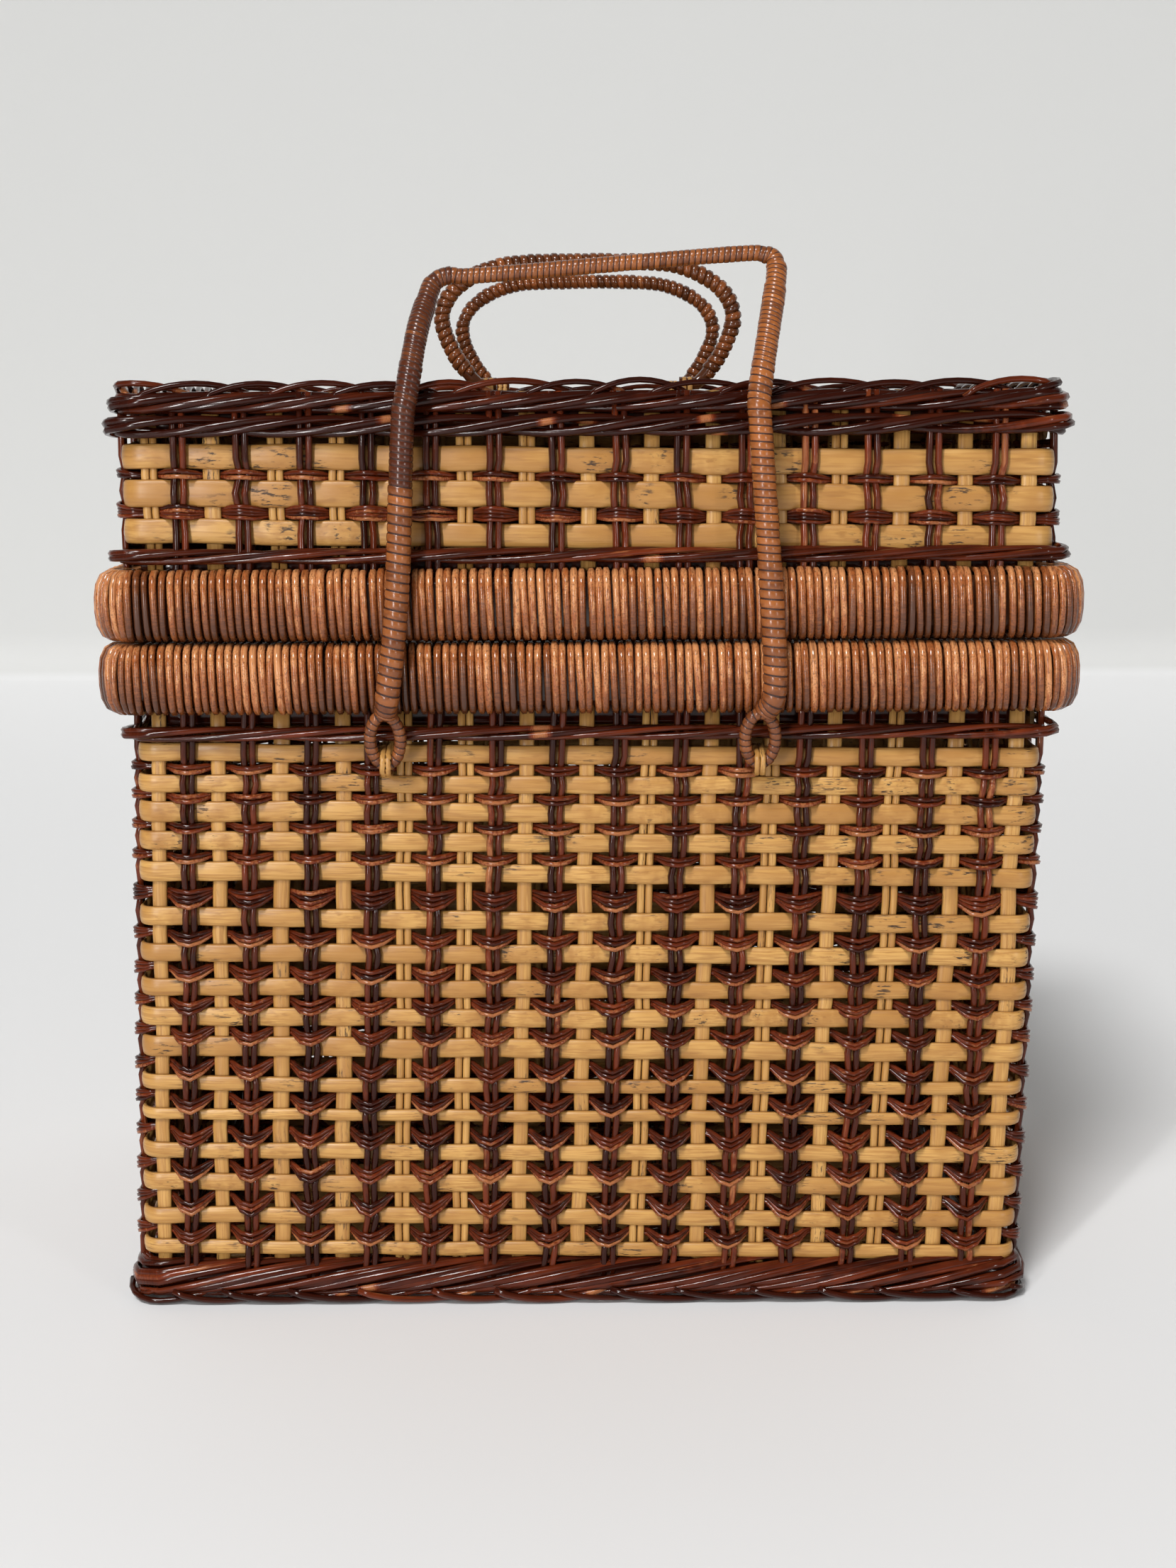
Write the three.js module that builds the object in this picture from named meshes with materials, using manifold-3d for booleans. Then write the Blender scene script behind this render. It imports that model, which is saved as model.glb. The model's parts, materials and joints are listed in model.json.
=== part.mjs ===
// A rectangular picnic basket woven from dark and pale rattan, with a hinged lid,
// a wrapped bail tied to the front wall and two wound handles on the lid.
// Millimetres, +Z up, the front faces -Y and the origin is the middle of the underside.

import * as THREE from 'three';
import { mergeVertices } from 'three/addons/utils/BufferGeometryUtils.js';
import Module from 'manifold-3d';

const wasm = await Module();
wasm.setup();

// Body and lid
const BODY_WIDTH = 360;
const BODY_DEPTH = 251;
const BODY_WALL_HEIGHT = 241.5;
const BORDER_HEIGHT = 20;
const BASE_THICKNESS = 6;
const BODY_LEAN = 6;
const LID_OVERHANG = 2;
const LID_WALL_HEIGHT = 71;
const LID_PANEL_THICKNESS = 5;
const LID_PANEL_DROP = 5;
const LID_PAIR_RELIEF = 2.1;
const CORNER_RADIUS = 6;
const LEAST_CORNER_RADIUS = 0.6;
const CORNER_STEPS = 3;

// Stakes and the strands woven round them
const STAKE_PITCH = 24;
const STAKE_WIDTH = 7;
const DARK_STAKE_THICKNESS = 3.2;
const PALE_STAKE_THICKNESS = 2.6;
const STRAND_THICKNESS = 1.6;
const RAIL_HEIGHT = 5;
const STRAND_CORNER = 3.2;
const WEAVER_HEIGHT = 2.4;
const WEAVER_DROP = 0.65;
const BODY_BAND_HEIGHT = 7.4;
const BODY_ROWS = 16;
const ROWS_ABOVE_DOUBLE_ROW = 5;
const DOUBLE_ROW_EXTRA = 0.5;
const FIRST_BAND_BELOW_RIM = 17.9;
const LAST_BAND_ABOVE_BORDER = 1.5;
const LID_BAND_HEIGHT = 9.8;
const LID_ROWS = 3;
const FIRST_LID_BAND_BELOW_TOP = 28;
const LID_ROW_PITCH = 15.2;

// Rims, wales and ropes
const RIM_HEIGHT = 26.5;
const RIM_OUTWARD = 10;
const RIM_INNER_LIP = 3;
const RIM_CROWN = 4;
const RIM_GAP = 2;
const RIM_ROUNDING = 7;
const RIM_ROUNDING_DEPTH = 4.9;
const RIM_INNER_EASE = 4.2;
const RIM_LIP_EASE = 2;
const LID_RIM_PROUD = 0.5;
const HOOP_HEIGHT = 8;
const WALE_HEIGHT = 6;
const WALE_THICKNESS = 3.2;
const BODY_WALE_BELOW_RIM = 8.5;
const LID_WALE_ABOVE_RIM = 5.3;
const LOWER_ROPE_BELOW_TOP = 18;
const BORDER_OUTWARD = 3;
const BORDER_ROUNDING = 6;
const BORDER_ROUNDING_DEPTH = 5.1;
const BORDER_EDGE_EASE = 1.5;
const TOP_BORDER_HEIGHT = 12;
const TOP_BORDER_CROWN = 3.5;
const GROOVE_DEPTH = 10;

// Bail on the front wall
const BAIL_ROD_RADIUS = 2.8;
const BAIL_WRAP_RADIUS = 4.4;
const BAIL_WRAP_BORE_GAP = 0.7;
const BAIL_WRAP_FROM_EYE = 18;
const BAIL_WRAP_LENGTH = 150;
const BAIL_LEG_GAP = 0.6;
const BAIL_RISE = 46.5;
const BAIL_BAR_SLOPE = 7;
const EYE_ROD_RADIUS = 2.2;
const EYE_HALF_WIDTH = 5.8;
const EYE_HEIGHT = 20;
const EYE_STAND_OFF = 6.5;
const EYE_LEAN = 5.5;
const LEFT_TIE_PITCHES = -3.25;
const RIGHT_TIE_PITCHES = 2.75;
const EYE_BELOW_BAND = 1.8;
const BAIL_LEAN_BACK = 21.5;
const BAIL_FOOT_RISE = 10;
const BAIL_RIM_RISE = 17;
const BAIL_WAIST_BELOW_KINK = 12;
const BAIL_WAIST_LEAN = 1.2;
const BAIL_KINK_BELOW_TOP = 6;
const BAIL_KINK_LEAN = 2.5;
const BAIL_NECK_ABOVE_KINK = 23;
const BAIL_NECK_LEAN = 8;
const BAIL_CORNER_EASE = 4.5;

// How far the points of each bail leg lie to the right of its eye
const LEFT_EYE_DRIFT = 0.5;
const LEFT_FOOT_DRIFT = 2;
const LEFT_RIM_DRIFT = 6;
const LEFT_WAIST_DRIFT = 9;
const LEFT_KINK_DRIFT = 10.5;
const LEFT_NECK_DRIFT = 14.5;
const LEFT_CORNER_DRIFT = 18;
const LEFT_BAR_DRIFT = 24;
const RIGHT_EYE_DRIFT = 1.5;
const RIGHT_FOOT_DRIFT = 5;
const RIGHT_RIM_DRIFT = 3.5;
const RIGHT_WAIST_DRIFT = -1;
const RIGHT_KINK_DRIFT = -1.5;
const RIGHT_NECK_DRIFT = 2;
const RIGHT_CORNER_DRIFT = 6.5;
const RIGHT_BAR_DRIFT = 1;

// Handles on the lid
const HANDLE_SPACING = 150;
const HANDLE_HEIGHT = 47.5;
const HANDLE_FOOT_SPACING = 95;
const HANDLE_WIDTH = 116;
const HANDLE_WIDEST_HEIGHT = 26;
const HANDLE_SHOULDER = 36;
const HANDLE_FLARE_SHARE = 0.6;
const HANDLE_FOOT_BEND = 4;
const HANDLE_JOURNAL = 11;
const HANDLE_JOURNAL_END = 1;
const HANDLE_CORE_RADIUS = 1.4;
const WINDING_RADIUS = 1.05;
const WINDING_TURNS = 18;
const WINDING_FROM_JOURNAL = 2;
const JOURNAL_LIFT = 4.2;

// Cane ties and hinge loops
const STRAP_THICKNESS = 1;
const STRAP_WIDTH = 4.2;
const HINGE_PIN_RADIUS = 1.5;
const HINGE_PIN_END = 6;
const HINGE_STAND_OFF = 2.3;
const HINGE_FIRST_PITCHES = 4.25;
const HINGE_LOOP_STEP_PITCHES = 0.5;
const HINGE_LOOP_BEND = 3;

// Clearance between neighbouring pieces
const CLEARANCE = 0.3;
const TIE_CLEARANCE = 0.35;

// Facets of round pieces
const ROD_SIDES = 6;
const BAIL_ROD_STEPS = 40;
const EYE_STEPS = 16;
const WRAP_STEPS = 12;
const WRAP_SIDES = 8;
const HANDLE_STEPS = 34;
const WINDING_SIDES = 5;
const STEPS_PER_TURN = 8;
const SHOULDER_STEPS = 3;
const STRAP_BEND_STEPS = 7;
const PIN_SIDES = 8;
const MERGE_DISTANCE = 1e-4;

// Heights and layers that follow from the sizes above
const wallThickness = DARK_STAKE_THICKNESS + STRAND_THICKNESS + PALE_STAKE_THICKNESS + 2 * CLEARANCE;
const strandInset = DARK_STAKE_THICKNESS + CLEARANCE + STRAND_THICKNESS / 2;
const paleInset = DARK_STAKE_THICKNESS + STRAND_THICKNESS + 2 * CLEARANCE;
const bodyHalfX = BODY_WIDTH / 2;
const bodyHalfY = BODY_DEPTH / 2;
const lidHalfX = bodyHalfX + LID_OVERHANG;
const lidHalfY = bodyHalfY + LID_OVERHANG;
const bodyRimBottom = BODY_WALL_HEIGHT;
const bodyRimTop = bodyRimBottom + RIM_HEIGHT;
const lidRimBottom = bodyRimTop + RIM_GAP;
const lidRimTop = lidRimBottom + RIM_HEIGHT;
const lidTop = lidRimTop + LID_WALL_HEIGHT;
const rimInward = wallThickness + CLEARANCE + RIM_INNER_LIP;
const lidRimOutward = RIM_OUTWARD - LID_OVERHANG + LID_RIM_PROUD;
const panelTop = lidTop - LID_PANEL_DROP;
const panelBottom = panelTop - LID_PANEL_THICKNESS;

// Colours
const darkReed = { color: 0x5b2b1e, roughness: 0.35, metalness: 0 };
const paleCane = { color: 0xd7b068, roughness: 0.5, metalness: 0 };
const wrapReed = { color: 0x9c5b35, roughness: 0.4, metalness: 0 };
const hoopWood = { color: 0x8a5a33, roughness: 0.6, metalness: 0 };

const basket = new THREE.Group();

// How far the woven body lies to the left at a height: its base stands to the left of its rim
function leanAt(height) {
  return -BODY_LEAN * Math.max(0, 1 - height / BODY_WALL_HEIGHT);
}

// Leans one piece of the body
function leanPiece(mesh) {
  mesh.updateWorldMatrix(true, false);
  mesh.geometry.applyMatrix4(mesh.matrixWorld);
  mesh.position.set(0, 0, 0);
  mesh.rotation.set(0, 0, 0);
  basket.add(mesh);
  const places = mesh.geometry.attributes.position;
  for (let i = 0; i < places.count; i += 1) {
    places.setX(i, places.getX(i) + leanAt(places.getZ(i)));
  }
}

// Adds one named piece to a group
function addPiece(group, name, geometry, finish) {
  const mesh = new THREE.Mesh(geometry, new THREE.MeshStandardMaterial(finish));
  mesh.name = name;
  group.add(mesh);
  return mesh;
}

// Turns a list of points and triangles into a geometry whose faces point out
function closedGeometry(points, triangles) {
  let volume = 0;
  for (const [a, b, c] of triangles) {
    const normal = new THREE.Vector3().crossVectors(points[b], points[c]);
    volume += points[a].dot(normal);
  }
  const ordered = volume > 0 ? triangles : triangles.map(([a, b, c]) => [a, c, b]);
  const geometry = new THREE.BufferGeometry().setFromPoints(points);
  geometry.setIndex(ordered.flat());
  geometry.computeVertexNormals();
  return geometry;
}

// Joins rings of equal length into one skin, closed on itself or capped at both ends
function skin(rings, closed) {
  const size = rings[0].length;
  const points = rings.flat();
  const triangles = [];
  const spans = closed ? rings.length : rings.length - 1;
  for (let i = 0; i < spans; i += 1) {
    const here = i * size;
    const next = ((i + 1) % rings.length) * size;
    for (let j = 0; j < size; j += 1) {
      const k = (j + 1) % size;
      triangles.push([here + j, next + j, next + k], [here + j, next + k, here + k]);
    }
  }
  if (!closed) {
    const last = (rings.length - 1) * size;
    for (let j = 1; j < size - 1; j += 1) {
      triangles.push([0, j, j + 1], [last, last + j + 1, last + j]);
    }
  }
  return closedGeometry(points, triangles);
}

// A ring round the basket: its section is a list of [outward, height] from the wall's outer face
function wallRing(section, halfX, halfY) {
  const rings = [];
  for (let corner = 0; corner < 4; corner += 1) {
    const signX = corner === 0 || corner === 3 ? 1 : -1;
    const signY = corner < 2 ? 1 : -1;
    for (let step = 0; step <= CORNER_STEPS; step += 1) {
      const angle = (corner + step / CORNER_STEPS) * Math.PI / 2;
      rings.push(section.map(([outward, height]) => {
        const radius = Math.max(CORNER_RADIUS + outward, LEAST_CORNER_RADIUS);
        const x = signX * (halfX + outward - radius) + radius * Math.cos(angle);
        const y = signY * (halfY + outward - radius) + radius * Math.sin(angle);
        return new THREE.Vector3(x, y, height);
      }));
    }
  }
  return skin(rings, true);
}

// A plain ring of rectangular section with its long edges eased
function easedRing(inside, outside, bottom, top, halfX, halfY) {
  const ease = (top - bottom) / 4;
  const section = [
    [inside, bottom],
    [outside - ease, bottom],
    [outside, bottom + ease],
    [outside, top - ease],
    [outside - ease, top],
    [inside, top],
  ];
  return wallRing(section, halfX, halfY);
}

// Three points that round off an outer edge, from its flat end to its upright face
function roundedEdge(outward, depth, end, bend) {
  const ease = 1 - Math.SQRT1_2;
  return [
    [outward - depth, end],
    [outward - depth * ease, end + bend * ease],
    [outward, end + bend],
  ];
}

// The wrapped rim: a rounded hollow hoop, open on the side where the stakes run in
function rimSection(open, crown, outward) {
  const up = Math.sign(crown - open);
  const slotEnd = crown - up * RIM_CROWN;
  const slotBack = -wallThickness - CLEARANCE;
  return [
    [CLEARANCE, open],
    ...roundedEdge(outward, RIM_ROUNDING_DEPTH, open, up * RIM_ROUNDING),
    ...roundedEdge(outward, RIM_ROUNDING_DEPTH, crown, -up * RIM_ROUNDING).reverse(),
    [RIM_INNER_EASE - rimInward, crown],
    [-rimInward, crown - up * RIM_INNER_EASE],
    [-rimInward, open + up * RIM_LIP_EASE],
    [RIM_LIP_EASE - rimInward, open],
    [slotBack, open],
    [slotBack, slotEnd],
    [CLEARANCE, slotEnd],
  ];
}

// A rope border with a groove that holds the stakes' ends
function borderSection(open, crown, slotEnd) {
  const up = Math.sign(crown - open);
  const slotBack = -wallThickness - CLEARANCE;
  return [
    [CLEARANCE, open],
    [BORDER_OUTWARD - BORDER_EDGE_EASE, open],
    [BORDER_OUTWARD, open + up * BORDER_EDGE_EASE],
    ...roundedEdge(BORDER_OUTWARD, BORDER_ROUNDING_DEPTH, crown, -up * BORDER_ROUNDING).reverse(),
    [-rimInward, crown],
    [-rimInward, open],
    [slotBack, open],
    [slotBack, slotEnd],
    [CLEARANCE, slotEnd],
  ];
}

// Joins and cuts of closed solids
function toManifold(geometry) {
  const bare = geometry.clone();
  bare.deleteAttribute('normal');
  bare.deleteAttribute('uv');
  const merged = mergeVertices(bare, MERGE_DISTANCE);
  return new wasm.Manifold(new wasm.Mesh({
    numProp: 3,
    vertProperties: new Float32Array(merged.attributes.position.array),
    triVerts: new Uint32Array(merged.index.array),
  }));
}

function fromManifold(manifold) {
  const mesh = manifold.getMesh();
  const geometry = new THREE.BufferGeometry();
  const places = new Float32Array(mesh.vertProperties);
  geometry.setAttribute('position', new THREE.BufferAttribute(places, 3));
  geometry.setIndex(new THREE.BufferAttribute(new Uint32Array(mesh.triVerts), 1));
  geometry.computeVertexNormals();
  return geometry;
}

// A box given by its lowest and highest corners
function boxBetween(low, high) {
  const size = high.map((value, i) => value - low[i]);
  const box = new THREE.BoxGeometry(...size);
  box.translate(...low.map((value, i) => value + size[i] / 2));
  return box;
}

// Upright stakes of one wall, joined by the rails that their ends are bound to
function stakeGrille(count, bottom, top, thickness) {
  const half = ((count - 1) * STAKE_PITCH + STAKE_WIDTH) / 2;
  const edges = [];
  for (let i = 0; i < count; i += 1) {
    const left = -half + i * STAKE_PITCH;
    edges.push(left, left + STAKE_WIDTH);
  }
  const low = bottom + RAIL_HEIGHT;
  const high = top - RAIL_HEIGHT;
  const outline = [
    [-half, bottom], [half, bottom],
    ...edges.map((x) => [x, low]),
    ...edges.map((x) => [x, high]),
    [-half, top], [half, top],
  ];
  const lowAt = (i) => 2 + i;
  const highAt = (i) => 2 + edges.length + i;
  const topLeft = 2 + 2 * edges.length;
  const last = edges.length - 1;
  const face = [[0, 1, lowAt(last)], [topLeft, highAt(last), topLeft + 1]];
  const rim = [[0, 1], [1, lowAt(last)], [highAt(last), topLeft + 1], [topLeft + 1, topLeft],
    [topLeft, highAt(0)], [lowAt(0), 0], [lowAt(last), highAt(last)], [highAt(0), lowAt(0)]];
  for (let i = 0; i < last; i += 1) {
    face.push([0, lowAt(i + 1), lowAt(i)], [topLeft, highAt(i), highAt(i + 1)]);
    const isStake = i % 2 === 0;
    if (isStake) {
      face.push([lowAt(i), lowAt(i + 1), highAt(i + 1)], [lowAt(i), highAt(i + 1), highAt(i)]);
    } else {
      rim.push([lowAt(i + 1), lowAt(i)], [highAt(i), highAt(i + 1)]);
      rim.push([lowAt(i), highAt(i)], [highAt(i + 1), lowAt(i + 1)]);
    }
  }
  const size = outline.length;
  const points = [0, thickness].flatMap((z) => outline.map(([x, y]) => new THREE.Vector3(x, y, z)));
  const triangles = face.flatMap(([a, b, c]) => [[a, c, b], [a + size, b + size, c + size]]);
  for (const [a, b] of rim) {
    triangles.push([a, b, b + size], [a, b + size, a + size]);
  }
  return closedGeometry(points, triangles);
}

// The four walls' stakes: dark pairs on the outside and pale stakes on the inside
function addWallStakes(prefix, halfX, halfY, bottom, top) {
  const walls = [
    { side: 'front', turn: 0, out: halfY, run: 2 * halfX, paleAtEnds: true },
    { side: 'right', turn: 1, out: halfX, run: 2 * halfY, paleAtEnds: false },
    { side: 'back', turn: 2, out: halfY, run: 2 * halfX, paleAtEnds: true },
    { side: 'left', turn: 3, out: halfX, run: 2 * halfY, paleAtEnds: false },
  ];
  const stakes = [];
  for (const wall of walls) {
    const group = new THREE.Group();
    group.rotation.z = wall.turn * Math.PI / 2;
    basket.add(group);
    const most = Math.floor(wall.run / STAKE_PITCH);
    const darkCount = wall.paleAtEnds ? most - 1 : most;
    const paleCount = wall.paleAtEnds ? most : most - 1;
    const darkShape = stakeGrille(darkCount, bottom, top, DARK_STAKE_THICKNESS);
    const dark = addPiece(group, `${prefix}_dark_stakes_${wall.side}`, darkShape, darkReed);
    dark.rotation.x = Math.PI / 2;
    dark.position.y = DARK_STAKE_THICKNESS - wall.out;
    const paleShape = stakeGrille(paleCount, bottom, top, PALE_STAKE_THICKNESS);
    const pale = addPiece(group, `${prefix}_pale_stakes_${wall.side}`, paleShape, paleCane);
    pale.rotation.x = Math.PI / 2;
    pale.position.y = paleInset + PALE_STAKE_THICKNESS - wall.out;
    stakes.push(dark, pale);
  }
  return stakes;
}

// Corners of the strand's path, from the middle of the back and round by the left to the front
function strandCorners(halfX, halfY, outward) {
  const x = halfX + outward;
  const y = halfY + outward;
  const cut = STRAND_CORNER + outward * (2 - Math.SQRT2);
  return [
    [cut - x, y], [-x, y - cut], [-x, cut - y], [cut - x, -y],
    [x - cut, -y], [x, cut - y], [x, y - cut], [x - cut, y],
  ];
}

// Share of one turn that lies before each of those corners
function strandShares(halfX, halfY) {
  const corners = strandCorners(halfX, halfY, 0);
  const stops = [[0, halfY], ...corners, [0, halfY]];
  const lengths = [0];
  for (let i = 1; i < stops.length; i += 1) {
    const step = Math.hypot(stops[i][0] - stops[i - 1][0], stops[i][1] - stops[i - 1][1]);
    lengths.push(lengths[i - 1] + step);
  }
  const whole = lengths[lengths.length - 1];
  return lengths.map((length) => length / whole);
}

// One strand laid round the walls in a falling spiral, its height given by the turns made
function spiralStrand(halfX, halfY, height, turns, heightAt) {
  const shares = strandShares(halfX, halfY);
  const inner = strandCorners(halfX, halfY, -STRAND_THICKNESS / 2);
  const outer = strandCorners(halfX, halfY, STRAND_THICKNESS / 2);
  const rings = [];
  const addRing = (turn, inside, outside) => {
    const middle = heightAt(turn);
    rings.push([
      new THREE.Vector3(...inside, middle - height / 2),
      new THREE.Vector3(...outside, middle - height / 2),
      new THREE.Vector3(...outside, middle + height / 2),
      new THREE.Vector3(...inside, middle + height / 2),
    ]);
  };
  const startInside = [0, halfY - STRAND_THICKNESS / 2];
  const startOutside = [0, halfY + STRAND_THICKNESS / 2];
  addRing(0, startInside, startOutside);
  for (let turn = 0; turn < turns; turn += 1) {
    for (let corner = 0; corner < inner.length; corner += 1) {
      addRing(turn + shares[corner + 1], inner[corner], outer[corner]);
    }
  }
  addRing(turns, startInside, startOutside);
  return skin(rings, false);
}

// Body rows: the gap below one row is wider, where the dark weaver is doubled
const firstBodyBand = bodyRimBottom - FIRST_BAND_BELOW_RIM;
const lastBodyBand = BORDER_HEIGHT + LAST_BAND_ABOVE_BORDER;
const bodyRowPitch = (firstBodyBand - lastBodyBand) / (BODY_ROWS - 1 + DOUBLE_ROW_EXTRA);

function bodyBandHeight(turn) {
  const row = turn - 0.5;
  const inDoubleRow = THREE.MathUtils.clamp(row - ROWS_ABOVE_DOUBLE_ROW + 1, 0, 1);
  return firstBodyBand - bodyRowPitch * (row + DOUBLE_ROW_EXTRA * inDoubleRow);
}

function bodyWeaverHeight(turn) {
  return bodyBandHeight(turn + 0.5) - WEAVER_DROP;
}

const firstLidBand = lidTop - FIRST_LID_BAND_BELOW_TOP;

function lidBandHeight(turn) {
  return firstLidBand - LID_ROW_PITCH * (turn - 0.5);
}

function lidWeaverHeight(turn) {
  return lidBandHeight(turn + 0.5);
}

// Body walls and base
function addBody() {
  const baseX = bodyHalfX - rimInward - CLEARANCE;
  const baseY = bodyHalfY - rimInward - CLEARANCE;
  const base = boxBetween([-baseX, -baseY, 0], [baseX, baseY, BASE_THICKNESS]);
  const woven = [addPiece(basket, 'base_panel', base, darkReed)];
  const grooveFloor = BORDER_HEIGHT - GROOVE_DEPTH;
  const border = wallRing(borderSection(BORDER_HEIGHT, 0, grooveFloor), bodyHalfX, bodyHalfY);
  woven.push(addPiece(basket, 'base_border', border, darkReed));
  const hoopTop = bodyRimTop - RIM_CROWN - CLEARANCE;
  const stakeTop = hoopTop - HOOP_HEIGHT - CLEARANCE;
  woven.push(...addWallStakes('body', bodyHalfX, bodyHalfY, grooveFloor + CLEARANCE, stakeTop));
  const strandX = bodyHalfX - strandInset;
  const strandY = bodyHalfY - strandInset;
  const band = spiralStrand(strandX, strandY, BODY_BAND_HEIGHT, BODY_ROWS, bodyBandHeight);
  woven.push(addPiece(basket, 'body_pale_band', band, paleCane));
  const weaver = spiralStrand(strandX, strandY, WEAVER_HEIGHT, BODY_ROWS - 1, bodyWeaverHeight);
  woven.push(addPiece(basket, 'body_dark_weaver', weaver, darkReed));
  const waleTop = bodyRimBottom - BODY_WALE_BELOW_RIM + WALE_HEIGHT / 2;
  const wale = easedRing(CLEARANCE, CLEARANCE + WALE_THICKNESS, waleTop - WALE_HEIGHT, waleTop,
    bodyHalfX, bodyHalfY);
  woven.push(addPiece(basket, 'body_wale', wale, darkReed));
  woven.forEach(leanPiece);
  const hoop = easedRing(-wallThickness, 0, hoopTop - HOOP_HEIGHT, hoopTop, bodyHalfX, bodyHalfY);
  addPiece(basket, 'body_rim_hoop', hoop, hoopWood);
  const wrap = wallRing(rimSection(bodyRimBottom, bodyRimTop, RIM_OUTWARD), bodyHalfX, bodyHalfY);
  addPiece(basket, 'body_rim_wrap', wrap, wrapReed);
}

// Lid walls, rim, ropes and top
function addLid() {
  const hoopBottom = lidRimBottom + RIM_CROWN + CLEARANCE;
  const stakeBottom = hoopBottom + HOOP_HEIGHT + CLEARANCE;
  const slotTop = lidTop - TOP_BORDER_CROWN;
  addWallStakes('lid', lidHalfX, lidHalfY, stakeBottom, slotTop - CLEARANCE);
  const strandX = lidHalfX - strandInset;
  const strandY = lidHalfY - strandInset;
  const band = spiralStrand(strandX, strandY, LID_BAND_HEIGHT, LID_ROWS, lidBandHeight);
  addPiece(basket, 'lid_pale_band', band, paleCane);
  const weaver = spiralStrand(strandX, strandY, WEAVER_HEIGHT, LID_ROWS - 1, lidWeaverHeight);
  addPiece(basket, 'lid_dark_weaver', weaver, darkReed);
  const ropeOut = CLEARANCE + WALE_THICKNESS;
  const waleBottom = lidRimTop + LID_WALE_ABOVE_RIM - WALE_HEIGHT / 2;
  const wale = easedRing(CLEARANCE, ropeOut, waleBottom, waleBottom + WALE_HEIGHT, lidHalfX, lidHalfY);
  addPiece(basket, 'lid_wale', wale, darkReed);
  const ropeBottom = lidTop - LOWER_ROPE_BELOW_TOP - WALE_HEIGHT / 2;
  const rope = easedRing(CLEARANCE, ropeOut, ropeBottom, ropeBottom + WALE_HEIGHT, lidHalfX, lidHalfY);
  addPiece(basket, 'lid_lower_rope', rope, darkReed);
  const border = wallRing(borderSection(lidTop - TOP_BORDER_HEIGHT, lidTop, slotTop), lidHalfX, lidHalfY);
  addPiece(basket, 'lid_top_border', border, darkReed);
  const hoop = easedRing(-wallThickness, 0, hoopBottom, hoopBottom + HOOP_HEIGHT, lidHalfX, lidHalfY);
  addPiece(basket, 'lid_rim_hoop', hoop, hoopWood);
  const wrap = wallRing(rimSection(lidRimTop, lidRimBottom, lidRimOutward), lidHalfX, lidHalfY);
  addPiece(basket, 'lid_rim_wrap', wrap, wrapReed);
}

// A flat cane strap closed into a loop: its middle line is a list of [y, z] points
function strapLoop(line) {
  const points = line.map(([y, z]) => new THREE.Vector2(y, z));
  if (THREE.ShapeUtils.isClockWise(points)) points.reverse();
  const offsetLine = (offset) => points.map((point, i) => {
    const before = points[(i + points.length - 1) % points.length];
    const after = points[(i + 1) % points.length];
    const a = point.clone().sub(before).normalize();
    const b = after.clone().sub(point).normalize();
    const mitre = new THREE.Vector2(a.y + b.y, -a.x - b.x);
    mitre.multiplyScalar(offset / (1 + a.dot(b)));
    return point.clone().add(mitre);
  });
  const outside = new THREE.Shape(offsetLine(STRAP_THICKNESS / 2));
  outside.holes.push(new THREE.Path(offsetLine(-STRAP_THICKNESS / 2)));
  const strap = new THREE.ExtrudeGeometry(outside, { depth: STRAP_WIDTH, bevelEnabled: false });
  strap.translate(0, 0, -STRAP_WIDTH / 2);
  return strap;
}

// Places a strap, drawn in the y and z plane, across the basket
function addStrap(name, line, x, finish) {
  const strap = addPiece(basket, name, strapLoop(line), finish);
  strap.quaternion.setFromAxisAngle(new THREE.Vector3(1, 1, 1).normalize(), 2 * Math.PI / 3);
  strap.position.x = x;
  return strap;
}

// Points on an arc in the y and z plane, angles in degrees
function arcPoints(y, z, radius, from, to, count) {
  const points = [];
  for (let i = 0; i < count; i += 1) {
    const angle = THREE.MathUtils.degToRad(from + (to - from) * i / (count - 1));
    points.push([y + radius * Math.cos(angle), z + radius * Math.sin(angle)]);
  }
  return points;
}

// Bail
const eyeY = -bodyHalfY - EYE_STAND_OFF;
const eyeZ = firstBodyBand - EYE_BELOW_BAND;
const leftTieX = LEFT_TIE_PITCHES * STAKE_PITCH + leanAt(eyeZ);
const rightTieX = RIGHT_TIE_PITCHES * STAKE_PITCH + leanAt(eyeZ);

// One leg's points from its eye to the bar, each with its own drift to the right of the eye
function bailLegPoints(x, drifts, barZ) {
  const [eye, foot, rim, waist, kink, neck, corner, bar] = drifts;
  const legY = -lidHalfY - lidRimOutward - BAIL_WRAP_RADIUS - BAIL_LEG_GAP;
  const barY = legY + BAIL_LEAN_BACK;
  const eyeTop = eyeZ + EYE_HEIGHT;
  const kinkZ = lidTop - BAIL_KINK_BELOW_TOP;
  return [
    [x + eye, eyeY - EYE_LEAN, eyeTop],
    [x + foot, legY, eyeTop + BAIL_FOOT_RISE],
    [x + rim, legY, lidRimBottom + BAIL_RIM_RISE],
    [x + waist, legY + BAIL_WAIST_LEAN, kinkZ - BAIL_WAIST_BELOW_KINK],
    [x + kink, legY + BAIL_KINK_LEAN, kinkZ],
    [x + neck, legY + BAIL_NECK_LEAN, kinkZ + BAIL_NECK_ABOVE_KINK],
    [x + corner, barY - BAIL_CORNER_EASE, barZ - BAIL_CORNER_EASE],
    [x + bar, barY, barZ],
  ];
}

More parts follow.
